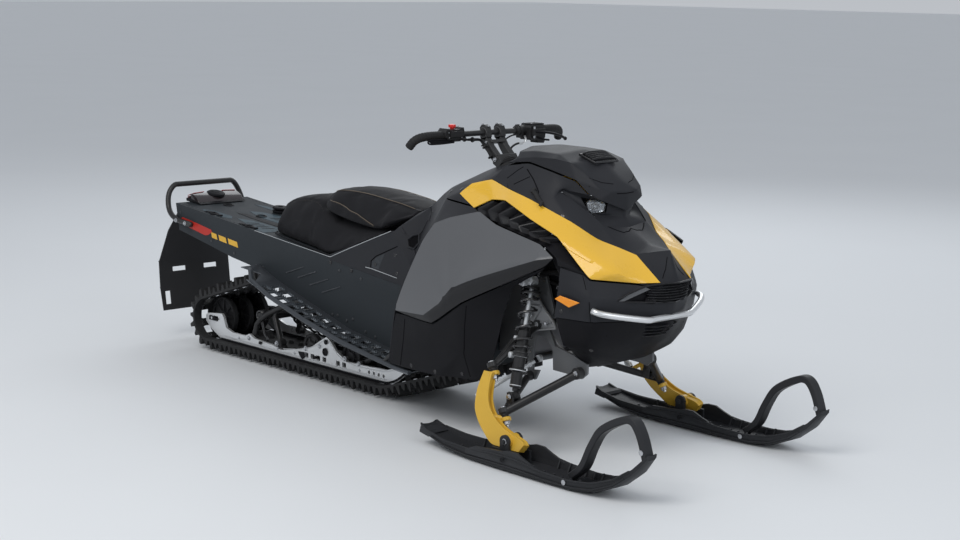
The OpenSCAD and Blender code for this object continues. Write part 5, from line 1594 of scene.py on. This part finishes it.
def rails():
    b = MB()
    # slider strips, end caps and the axle adjusters
    for s in (-1, 1):
        y = s * 145
        pts = chaikin([(-1176, y, 60.2), (-400, y, 60.2), (-70, y, 60.2), (-22, y, 66), (30, y, 88), (72, y, 120)], 2)
        band(b, pts, (0, 1, 0), 11, 4.2, 1.2)
        b.prism([(84, y - 9, 140), (104, y - 9, 146), (96, y - 9, 170), (82, y - 9, 168)], (0, 18, 0))
        b.box((-1238, s * 154, 143), (44, 8, 18))
        b.cyl((-1226, s * 154, 143), (-1196, s * 154, 143), 4)
        b.lathe((-432, s * 152, 122), (0, s, 0), [(0, 17), (3, 17), (4, 14), (-6, 13), (-6.2, 0.1)], 24)
        b.lathe((-426, s * 152, 165), (0, s, 0), [(0, 11), (5, 11), (6, 8)], 6)
        b.prism([(-612, s * 152, 96), (-574, s * 152, 98), (-566, s * 152, 80), (-584, s * 152, 66), (-600, s * 152, 78)], (0, s * 4, 0))
        for x in (-880, -500):
            b.box((x, s * 0.0 + y, 88), (16, 26, 12))
    b.obj("rail_sliders", "chassis", "black", slot="black_plastic", bevel=0.8)
    f = MB()
    for s in (-1, 1):
        y = s * 151.6
        # pressed rib along each rail
        f.tube(chaikin([(-1150, y, 78), (-900, y, 76), (-620, y, 76), (-240, y, 76), (-40, y, 76)], 1), 2.0, 8)
        f.tube(chaikin([(-720, y, 88), (-560, y, 112), (-470, y, 152), (-440, y, 174)], 2), 1.8, 8)
        f.tube(chaikin([(-410, y, 172), (-378, y, 146), (-352, y, 122), (-292, y, 98), (-60, y, 102), (30, y, 130)], 2), 1.8, 8)
    f.obj("rail_ribs", "chassis", "alloy", slot="rail_alloy")
    # coil springs of the rear arms' suspension
    d = MB()
    a, c = V(-842, 0, 204), V(-470, 0, 140)
    u = (c - a).normalized()
    d.tube(helix(a + u * 30, u, 30, 7, 250), 4.6, 8)
    d.tube(helix(V(-215, 0, 108) + (V(60, 0, 282) - V(-215, 0, 108)).normalized() * 40, V(60, 0, 282) - V(-215, 0, 108), 31, 6, 210), 4.6, 8)
    d.obj("rear_coils", "chassis", "spring", slot="shock_black")
    # torsion springs' legs beside the rear arm
    t = MB()
    for s in (-1, 1):
        t.tube(helix(V(-955, s * 104, 190), (0, -s, 0), 20, 5, 42), 4.5, 8)
        t.tube([(-940, s * 104, 176), (-900, s * 118, 120), (-860, s * 128, 100)], 4.5, 8)
    t.obj("torsion_springs", "chassis", "spring", slot="shock_black")


# --------------------------------------------------- tunnel, boards and the rear
def ttop(x):
    return 533 - 0.0955 * (x + 358)


def boards():
    b = MB()
    for i in range(13):
        for j in range(2):
            x = -640 + i * 62 + j * 20
            z = (390 - (x + 697) * 0.277 if x < -221 else 258 - (x + 221) * 0.146) + 1
            y = -306 + j * 54
            sl = -0.277 if x < -221 else -0.146
            # raised teeth along both long edges of each hole
            for e in (-1, 1):
                yy = y + e * 20.5
                for k in range(4):
                    xx = x - 17 + k * 11
                    zz = z + (xx - x) * sl
                    b.prism([(xx - 4.5, yy - 1, zz), (xx + 4.5, yy - 1, zz + 9 * sl), (xx + 1, yy - 1, zz + 7.5)], (0, 2, 0))
            for e in (-1, 1):
                xx = x + e * 22
                zz = z + (xx - x) * sl
                b.box((xx, y, zz + 1.2), (2.4, 38, 4))
    b.both()
    b.obj("board_teeth", "chassis", "tooth", slot="board_sheet", smooth=False)
    # boot stop and toe hold at the front of each board
    t = MB()
    t.tube(smooth_path([(150, -324, 206), (196, -318, 250), (204, -290, 300), (190, -250, 330), (176, -206, 336)], 6), 9, 12)
    t.both()
    t.obj("toe_holds", "chassis", "steel_black", slot="black_tube")
    # side ribs pressed in the tunnel above the boards
    r = MB()
    for x0, z0, x1, z1 in ((-640, 430, -520, 470), (-560, 420, -440, 460), (-480, 400, -360, 440), (-400, 380, -280, 420)):
        r.tube([(x0, -194.4, z0), ((x0 + x1) / 2, -195.2, (z0 + z1) / 2), (x1, -194.4, z1)], 2.6, 8)
    r.both()
    r.obj("tunnel_ribs", "chassis", "tunnel", slot="tunnel_sheet")


def tunnel_trim():
    n = MB()
    for x, z in ((-849, 433), (-801, 432), (-1180, 500), (-1010, 466), (-330, 300), (-296, 302), (-240, 288), (-200, 300), (-120, 262), (-60, 250),
                 (60, 262), (40, 240), (-286, 486), (-150, 470), (-1420, 600), (-1390, 560), (150, 300), (130, 240)):
        n.lathe((x, -194.2, z), (0, -1, 0), [(0, 6.5), (1.5, 6.5), (3, 4), (3.2, 0.1)], 16)
    for i in range(22):
        x = -1420 + i * 28
        n.lathe((x, -180, ttop(x) + 0.2), (0.095, 0, 1), [(0, 4), (1.2, 3.6), (2, 1.8), (2.1, 0.1)], 12)
    n.both()
    n.obj("tunnel_rivets", "chassis", "rivet", slot="tunnel_sheet")

    def flat(b, pts, up=0.5):
        b.prism([(x, y, ttop(x) + up) for x, y in pts], (0, 0, 0.5))

    d = MB()
    flat(d, [(-1086, -125), (-1021, -87), (-864, -68), (-800, -98), (-812, -186), (-845, -188), (-949, -158)])
    flat(d, [(-1188, 13), (-1146, 55), (-1029, 88), (-830, 92), (-820, -8), (-956, -14), (-1071, -19)])
    flat(d, [(-1300, 120), (-1240, 150), (-900, 158), (-830, 150), (-830, 120)])
    flat(d, [(-1300, -160), (-1250, -130), (-1130, -120), (-1090, -150), (-1140, -176), (-1250, -182)])
    d.obj("tunnel_decal", "chassis", "decal", smooth=False)
    h = MB()
    for i in range(5):
        x = -1040 + i * 34
        flat(h, [(x, 14), (x + 14, 14), (x + 58, 78), (x + 44, 78)], 1.1)
    for i in range(4):
        x = -1000 + i * 36
        flat(h, [(x, -140), (x + 12, -140), (x + 40, -96), (x + 28, -96)], 1.1)
    flat(h, [(-1180, -60), (-1140, -34), (-812, -30), (-812, -54), (-1060, -66)], 0.9)
    h.obj("tunnel_decal_dark", "chassis", "black", smooth=False)
    r = MB()
    r.prism([(x, -194.3, z) for x, z in ((-1430, 566), (-1404, 580), (-1300, 566), (-1184, 548), (-1176, 538), (-1207, 522), (-1230, 518), (-1348, 538))],
            (0, -0.6, 0))
    r.both()
    r.obj("side_flash_red", "chassis", "decal_red", smooth=False)
    y = MB()
    for x, z, w, h2 in ((-1176, 514, 40, 24), (-1120, 508, 54, 24), (-1050, 501, 68, 24)):
        s = 0.12 * w
        y.prism([(x, -194.3, z), (x + w, -194.3, z - s), (x + w - 8, -194.3, z + h2 - s), (x - 8, -194.3, z + h2)], (0, -0.6, 0))
    y.both()
    y.obj("side_flash_yellow", "chassis", "decal_yellow", smooth=False)
    # knob on the tunnel behind the seat, and the cargo fixing plates
    p = MB()
    z = ttop(-1112)
    p.lathe((-1112, 127, z), (0.095, 0, 1), [(0, 26), (2, 34), (10, 36), (13, 32), (14, 26), (17, 26), (19, 36), (26, 36), (28, 32), (28.5, 12), (24, 10), (24, 0.1)], 32)
    for x in (-1330, -1080):
        p.lathe((x, 0, ttop(x)), (0.095, 0, 1), [(1, 16.4), (1.4, 24), (3, 25), (4.5, 22), (4.6, 16.4)], 32, caps=False)
    for x, yy in ((-930, -172), (-1196, -168), (-930, 172)):
        p.lathe((x, yy, ttop(x)), (0.095, 0, 1), [(0, 20), (5, 19), (7, 14), (5, 9), (5, 0.1)], 24)
        p.box((x - 34, yy, ttop(x - 34) + 3), (60, 20, 6))
        p.box((x + 30, yy, ttop(x + 30) + 3), (50, 14, 6))
    p.obj("cargo_fixings", "chassis", "black", slot="black_plastic", bevel=1.2)


def rear_end():
    b = MB()
    # rear cap over the tunnel's end, with its round centre
    b.prism([(-1482, -122, 640), (-1484, -122, 652), (-1470, -122, 656), (-1380, -122, 640), (-1370, -122, 634)], (0, 244, 0))
    b.lathe((-1428, 0, 668), (0.18, 0, 1), [(-6, 38), (0, 42), (6, 41), (10, 34), (12, 20), (12.6, 0.1)], 36)
    b.lathe((-1428, 0, 680), (0.18, 0, 1), [(0, 20), (1.6, 19), (1.8, 12), (0.6, 11), (0.6, 0.1)], 28)
    b.obj("rear_cap", "chassis", "black", slot="lamp_housing", bevel=1.6)
    r = MB()
    for s in (-1, 1):
        pts = [(-1480, s * 116, 662), (-1480, s * 48, 664), (-1444, s * 50, 679), (-1436, s * 112, 677)]
        r.prism(pts, (-2.5, 0, 2.5))
        r.prism([(-1482, s * 114, 646), (-1482, s * 20, 646), (-1480, s * 20, 660), (-1480, s * 114, 660)], (-3, 0, 0))
    r.obj("tail_lens", "chassis", "redlens", slot="lamp_housing", bevel=1.0)
    # hinge bar, clamp plate and stiffening ribs of the flap
    f = MB()
    f.box((-1466, 0, 622), (10, 330, 26))
    for z0, x0, w in ((500, -1565, 330), (352, -1617, 372), (232, -1605, 376)):
        f.tube([(x0, -w / 2, z0), (x0 - 1, 0, z0), (x0, w / 2, z0)], 3.5, 8)
    for y in (-140, -70, 0, 70, 140):
        f.tube([(-1572, y, 492), (-1596, y, 430), (-1614, y, 366)], 2.6, 8)
    f.prism([(-1612, -120, 300), (-1612, 120, 300), (-1608, 110, 250), (-1608, -110, 250)], (-3, 0, 0))
    f.obj("flap_ribs", "chassis", "flap", slot="flap", bevel=0.8)
    n = MB()
    for y in (-140, -60, 60, 140):
        n.bolt((-1471, y, 622), (-1, 0, 0), 6, 4)
    for s in (-1, 1):
        for x, z in ((-1420, 566), (-1350, 560)):
            n.bolt((x, s * 220, z), (0, s, 0), 7, 5)
    n.obj("rear_bolts", "chassis", "bolt", slot="bright_rod")


M["tooth"] = material("board_teeth", (0.16, 0.18, 0.20), 0.32, metal=0.7, vary=0.25, vscale=40, bump=0.2, bscale=600)
M["rivet"] = material("rivets", (0.06, 0.063, 0.068), 0.35, metal=0.5, vary=0.2, vscale=60, bump=0.1)
track()
wheels()
rails()
boards()
tunnel_trim()
rear_end()

# --------------------------------------------- nose details, creases and seams
from mathutils.bvhtree import BVHTree

DG = bpy.context.evaluated_depsgraph_get()


def surf(*names):
    return [BVHTree.FromObject(bpy.data.objects[n], DG) for n in names]


def line_on(b, trees, pts, w=4.0, h=0.8, step=14.0, r=(700, 0, 560)):
    """a narrow ribbon that lies on the skin of the given panels"""
    P = [V(p) for p in pts]
    D = []
    for p, q in zip(P, P[1:]):
        k = max(1, int((q - p).length / step))
        D += [p.lerp(q, i / k) for i in range(k)]
    D.append(P[-1])
    S = []
    for p in D:
        best = None
        for t in trees:
            co, n, _, d = t.find_nearest(p * MM)
            if co is not None and (best is None or d < best[2]):
                best = (co / MM, n, d)
        q, n = best[0], best[1]
        if n.dot(q - V(r)) < 0:
            n = -n
        S.append((q, n))
    vs, fs = [], []
    m = len(S)
    for i, (q, n) in enumerate(S):
        t = (S[min(m - 1, i + 1)][0] - S[max(0, i - 1)][0])
        s = t.cross(n)
        s = s.normalized() * (w / 2) if s.length > 1e-6 else V(0, 0, 0)
        vs += [q + s - n, q + s * 0.7 + n * h, q - s * 0.7 + n * h, q - s - n]
    for i in range(m - 1):
        for k in range(3):
            fs.append((i * 4 + k, i * 4 + k + 1, i * 4 + k + 5, i * 4 + k + 4))
    b.add(vs, fs)


def nose_details():
    # funnel and frame that close the sides of the upper inlet
    b = MB()
    A, B, C = (1276, -118, 628), (1217, -200, 577), (1282, -94, 572)
    a, c = (1256, -104, 620), (1262, -90, 577)
    b.add([A, B, C, a, c, (1232, -170, 581)], [(0, 1, 5), (0, 5, 3), (1, 2, 4, 5), (3, 5, 4)])
    b.add([a, c, (1276, -86, 577), (1270, -106, 624)], [(0, 1, 2, 3)])
    b.add([A, (1305, -79, 635), (1301, -70, 628), (1266, -108, 623)], [(0, 1, 2, 3)])
    b.add([(1305, -79, 635), (1319, 0, 633), (1301, 0, 627), (1301, -70, 628)], [(0, 1, 2, 3)])
    b.add([(1255, -134, 637), (1307, -79, 641), (1304, -79, 633), A], [(0, 1, 2, 3)])
    b.add([C, (1300, 0, 566), (1296, 0, 574), (1274, -88, 579)], [(0, 1, 2, 3)])
    b.add([(1291, -86, 567), (1268, -114, 568), (1262, -102, 589), (1286, -78, 589)], [(0, 1, 2, 3)])
    b.both()
    b.obj("inlet_funnel", "chassis", "black", slot="black_plastic", smooth=False)
    f = MB()
    f.tube([(1208, -202, 574), (1240, -170, 602), (1276, -119, 629), (1304, -80, 637), (1320, 0, 635)], 4.5, 8, b=3)
    f.tube([(1214, -196, 575), (1250, -148, 574), (1284, -94, 572), (1304, 0, 567)], 4, 8, b=2.5)
    f.both()
    f.obj("inlet_frame", "chassis", "lip", slot="body_black", bevel=0.5)
    # facing that slopes from the frame into the inlet
    g = MB()
    g.sheet([(1205, -205, 577), (1272, -125, 630), (1281, -104, 619), (1231, -178, 579)], [(0, 1, 2, 3)], 3)
    g.both()
    g.obj("inlet_facing", "chassis", "grey", slot="body_black", bevel=0.8)


def casting():
    b = MB()
    o = [(815, -204, 562), (838, -200, 548), (862, -194, 510), (907, -182, 458), (918, -180, 436), (793, -196, 410),
         (767, -200, 437), (797, -204, 506)]
    b.prism(o, (0, 6, 0))
    for p, q in ((0, 5), (2, 5), (3, 6), (2, 7)):
        P, Q = V(o[p]), V(o[q])
        b.tube([P.lerp(Q, 0.06) + V(0, -2, 0), P.lerp(Q, 0.94) + V(0, -2, 0)], 4, 6, ref=(0, 1, 0), b=5)
    for i in range(len(o)):
        P, Q = V(o[i]), V(o[(i + 1) % len(o)])
        b.tube([P + V(0, -3, 0), Q + V(0, -3, 0)], 4, 6, ref=(0, 1, 0), b=6)
    b.both()
    b.obj("shock_tower", "chassis", "plate", slot="grey_casting", bevel=0.8)
    # forked lower casting behind the belly pan
    c = MB()
    c.prism([(866, -168, 400), (884, -168, 404), (936, -156, 352), (1006, -150, 372), (1024, -150, 356), (1004, -148, 306),
             (902, -150, 296), (906, -156, 336)], (0, 10, 0))
    c.tube([(872, -170, 398), (916, -162, 346), (938, -158, 344), (1008, -152, 366)], 5, 6, ref=(0, 1, 0), b=6)
    c.tube([(906, -156, 300), (1004, -152, 310)], 5, 6, ref=(0, 1, 0), b=6)
    c.both()
    c.obj("front_casting", "chassis", "plate", slot="grey_casting", bevel=0.8)
    d = MB()
    d.prism([(946, -160, 338), (962, -160, 336), (966, -160, 318), (958, -160, 312)], (0, 2, 0))
    for p in ((1000, -156, 342), (915, -160, 312), (985, -154, 318), (812, -206, 470), (880, -194, 450), (826, -206, 536)):
        d.bolt(V(p), (0, -1, 0), 6.5, 5)
    d.both()
    d.obj("casting_bolts", "chassis", "bolt", slot="bright_rod")


def seams():
    body = surf("hood_shell", "console_shell", "windshield_shell")
    # near-black ribbons: dark joints at the lid and panel seams, painted shade on the folds and raised lines
    b = MB()
    # storage lid on each side of the console
    line_on(b, body, [(671, -215, 960), (703, -190, 988), (722, -180, 999)], 4)
    line_on(b, body, [(718, -220, 938), (774, -190, 965)], 4)
    line_on(b, body, [(745, -172, 985), (790, -185, 955), (842, -215, 925), (850, -228, 905)], 5)
    # brow fold beside the windshield, and the fold across the hood's front; their near-black ribbons are painted shade
    # in the folds
    line_on(b, body, [(1033, -110, 823), (1060, -103, 811), (1090, -75, 803), (1112, -50, 800), (1112, -20, 806), (1101, 0, 812)], 5)
    line_on(b, body, [(940, -200, 850), (1000, -180, 806), (1091, -128, 750), (1150, -94, 730), (1215, -40, 728), (1229, 0, 727)], 5)
    line_on(b, body, [(1262, 0, 738), (1300, -40, 690), (1309, -60, 664)], 3)
    # raised lines on the windshield face, as near-black ribbons: painted shade
    line_on(b, body, [(1003, -124, 944), (1040, -90, 925), (1062, -40, 918), (1068, 0, 917)], 4)
    line_on(b, body, [(1000, -118, 975), (1030, -80, 962), (1045, -40, 955)], 3)
    wing = surf("wing_shell")
    line_on(b, wing, [(512, -262, 884), (560, -270, 872), (604, -286, 858)], 3)
    cowl = surf("nose_cowl_shell")
    line_on(b, cowl, [(1122, -268, 660), (1165, -278, 576), (1163, -268, 508)], 3)
    line_on(b, cowl, [(1046, -316, 600), (1060, -318, 640)], 3)
    belly = surf("belly_shell")
    line_on(b, belly, [(1042, -262, 430), (1130, -228, 452), (1180, -200, 452)], 5)
    line_on(b, belly, [(1110, -190, 385), (1160, -150, 400)], 4)
    side = surf("side_cover_shell")
    line_on(b, side, [(170, -112, 782), (206, -160, 760), (262, -200, 700), (270, -260, 600), (238, -330, 480)], 4)
    line_on(b, side, [(325, -146, 876), (352, -200, 820), (386, -300, 740)], 4)
    low = surf("lower_panel_shell")
    line_on(b, low, [(655, -372, 500), (640, -366, 420), (625, -352, 320), (640, -338, 232)], 4)
    line_on(b, low, [(300, -360, 398), (290, -356, 320), (262, -345, 214)], 4)
    b.both()
    b.obj("panel_seams_and_fold_shade", "chassis", "gap", slot="black_plastic", smooth=False)
    # crease ridge along the wing: a shallow folded rib
    y = MB()
    line_on(y, wing, [(1033, -277, 768), (1057, -270, 748), (1119, -246, 714), (1203, -208, 672)], 12, 3.2)
    y.both()
    y.obj("wing_crease", "chassis", "yellow", slot="yellow_plastic", smooth=False)


def vent_and_latch():
    # ridged intake on the far corner of the windshield's crest
    b = MB()
    for i in range(5):
        x = 914 + i * 11
        z = 1039 - i * 4.6
        b.tube(chaikin([(x - 4, -58, z + 5), (x, -30, z + 10), (x, 30, z + 10), (x - 4, 58, z + 5)], 1), 3.4, 6, ref=(0, 0, 1), b=6)
    b.obj("crest_vent", "chassis", "lip", slot="black_plastic", bevel=0.6)
    f = MB()
    ring = [(904, -68, 1042), (904, 68, 1042), (968, 60, 1018), (968, -60, 1018)]
    f.tube(ring, 5, 8, closed=True, b=4)
    f.obj("crest_vent_frame", "chassis", "gloss", slot="body_black", bevel=0.6)
    # rubber latch between the console and the upper panel, one on each side
    k = MB()
    o, d = V(845, -222, 904), V(30, -10, -17)
    k.tube([o - d * 0.7, o + V(0, -4, 8), o + d * 0.8, o + d * 1.5 + V(0, -2, 2)], 8, 8, ref=(0, -0.5, 0.8), b=4)
    k.cyl(o - d * 0.7 + V(0, -6, -6), o - d * 0.7 + V(0, 8, 8), 7, 14)
    k.cyl(o + d * 1.4 + V(0, -8, -8), o + d * 1.4 + V(0, 4, 6), 6, 14)
    k.box(o + d * 0.3, (16, 12, 8))
    k.both()
    k.obj("hood_latches", "chassis", "rubber", slot="black_plastic", bevel=1.0)
    # push fasteners and screws around the panels
    s = MB()
    trees = surf("side_cover_shell", "lower_panel_shell", "nose_cowl_shell", "hood_shell", "console_shell", "belly_shell", "side_panel_shell")
    for p in ((200, -150, 770), (262, -190, 720), (258, -250, 610), (208, -320, 470), (196, -330, 250), (330, -352, 224),
              (470, -350, 226), (600, -345, 236), (700, -320, 262), (455, -300, 800), (1060, -310, 530), (1150, -268, 516),
              (1030, -300, 620), (480, -240, 890), (360, -200, 880), (960, -205, 842), (1130, -225, 400), (1040, -262, 480)):
        best = None
        for t in trees:
            co, n, _, dd = t.find_nearest(V(p) * MM)
            if co is not None and (best is None or dd < best[2]):
                best = (co / MM, n, dd)
        q, n = best[0], best[1]
        if n.dot(q - V(700, 0, 560)) < 0:
            n = -n
        s.lathe(q, n, [(-2, 8), (0.6, 8), (1.8, 6.5), (1.9, 3), (0.9, 2.6), (0.8, 0.1)], 18)
    s.both()
    s.obj("panel_fasteners", "chassis", "gloss", slot="black_plastic")


def side_details():
    trees = surf("side_cover_shell")

    def snap(p):
        co, n, _, _ = trees[0].find_nearest(V(p) * MM)
        q = co / MM
        return q, (n if n.dot(q - V(700, 0, 560)) > 0 else -n)

    # hand hold in the side cover: a pocket with a raised rim; the pocket is a near-black dish laid on the cover,
    # painted shade of the recess
    ring = [(120, -179, 656), (133, -169, 668), (154, -160, 676), (163, -169, 649), (150, -180, 629), (129, -184, 634)]
    c, n = snap((141, -174, 652))
    R = [snap(p)[0] for p in ring]
    rim = MB()
    rim.tube([p + (p - c).normalized() * 5 + n * 1.5 for p in R], 4.5, 8, closed=True, ref=n, b=5)
    rim.both()
    rim.obj("hand_hold_rim", "chassis", "body", slot="body_black", bevel=0.6)
    # painted shade: near-black dish standing for the shade in the hand hold's recess
    pk = MB()
    top = [p + n * 1.6 for p in R]
    mid = [p.lerp(c, 0.35) + n * 0.9 for p in R]
    k = len(R)
    pk.add(top + mid + [c + n * 0.7], [(a, (a + 1) % k, (a + 1) % k + k, a + k) for a in range(k)]
           + [(a + k, (a + 1) % k + k, 2 * k) for a in range(k)])
    pk.both()
    pk.obj("hand_hold_pocket_shade", "chassis", "gap", slot="black_plastic", smooth=False)
    # folded ribs that run from the rim into the cover
    b = MB()
    for pts, w, h in (([(129, -184, 630), (136, -187, 600), (150, -190, 560)], 9, 3.5), ([(150, -180, 626), (172, -196, 596), (196, -216, 560)], 7, 3),
                      ([(118, -180, 664), (96, -186, 684), (72, -186, 704)], 8, 3), ([(156, -158, 682), (176, -146, 716), (200, -136, 758)], 8, 3)):
        line_on(b, trees, pts, w, h)
    b.both()
    b.obj("cover_ribs", "chassis", "body", slot="body_black", smooth=False)
    # inset plate on the flank below the seat, with a painted shadow along its upper edge, a light bead below it that is
    # a painted highlight, and screws
    o = [(-84, 526), (-82, 548), (-54, 568), (70, 622), (88, 600), (88, 512)]
    g = MB()
    g.prism([(x, -194.4, z) for x, z in o], (0, -1.6, 0))
    g.both()
    g.obj("flank_plate", "chassis", "tunnel", slot="tunnel_sheet", bevel=0.8)
    # painted shadow: near-black strip along the plate's upper edge
    f = MB()
    f.tube([(x, -195.6, z) for x, z in ((-88, 524), (-86, 551), (-56, 573), (72, 627))], 2.2, 6, ref=(0, 1, 0), b=2.6)
    f.both()
    f.obj("flank_shadow", "chassis", "gap", slot="black_plastic")
    # painted highlight: light bead along the plate's lower edge
    t = MB()
    t.tube([(-120, -195.8, 521), (-84, -195.8, 520), (70, -195.8, 503)], 1.6, 6, ref=(0, 1, 0), b=2.2)
    t.both()
    t.obj("flank_painted_highlight", "chassis", "trim", slot="silver_tube")
    s = MB()
    for x, z in ((-343, 512), (-209, 496), (-60, 540), (60, 590), (70, 520)):
        s.lathe((x, -195, z), (0, -1, 0), [(0, 8), (1.5, 8), (3, 6), (3.2, 2.6), (2, 2.4), (1.8, 0.1)], 18)
    s.both()
    s.obj("flank_screws", "chassis", "gloss", slot="black_plastic")


def front_bay():
    # inner liner behind the shocks, with ribs and a hose
    b = MB()
    o = [(770, 478), (905, 470), (1010, 478), (1036, 560), (1044, 640), (900, 700), (772, 640)]
    b.prism([(x, -150, z) for x, z in o], (0, 4, 0))
    for x in (800, 850, 900, 950, 1000):
        b.prism([(x - 4, -150, 486), (x + 4, -150, 486), (x + 8, -150, 640), (x, -150, 640)], (0, -6, 0))
    for z in (520, 580):
        b.prism([(778, -150, z), (1022, -150, z + 6), (1022, -150, z + 14), (778, -150, z + 8)], (0, -5, 0))
    b.both()
    b.obj("front_bay_liner", "chassis", "black", slot="black_plastic", bevel=0.8)
    w = MB()
    w.sheet([(956, -284, 738), (1010, -292, 712), (1056, -300, 690), (1122, -254, 668), (1150, -250, 640), (1060, -296, 636),
             (1000, -270, 672), (960, -250, 700)], [(0, 1, 6, 7), (1, 2, 5, 6), (2, 3, 4, 5)], 3)
    w.both()
    w.obj("bay_closer", "chassis", "black", slot="black_plastic", bevel=0.5)
    h = MB()
    h.tube(smooth_path([(780, -168, 640), (830, -176, 618), (900, -174, 632), (960, -170, 610), (1006, -164, 560), (1010, -160, 500)], 8), 9, 14)
    h.tube(smooth_path([(790, -166, 560), (850, -164, 590), (930, -162, 580), (1000, -160, 540)], 8), 6, 12)
    h.both()
    h.obj("front_bay_hoses", "chassis", "cable", slot="black_plastic")
    c = MB()
    for p, d in (((830, -176, 618), (1, -0.1, 0)), ((960, -170, 610), (0.8, 0.1, -0.5)), ((930, -162, 580), (1, 0, -0.3))):
        c.lathe(p, d, [(-5, 10.5), (-4, 11.5), (4, 11.5), (5, 10.5)], 18)
    c.both()
    c.obj("hose_clamps", "chassis", "bolt", slot="bright_rod")


nose_details()
casting()
seams()
vent_and_latch()
side_details()
front_bay()
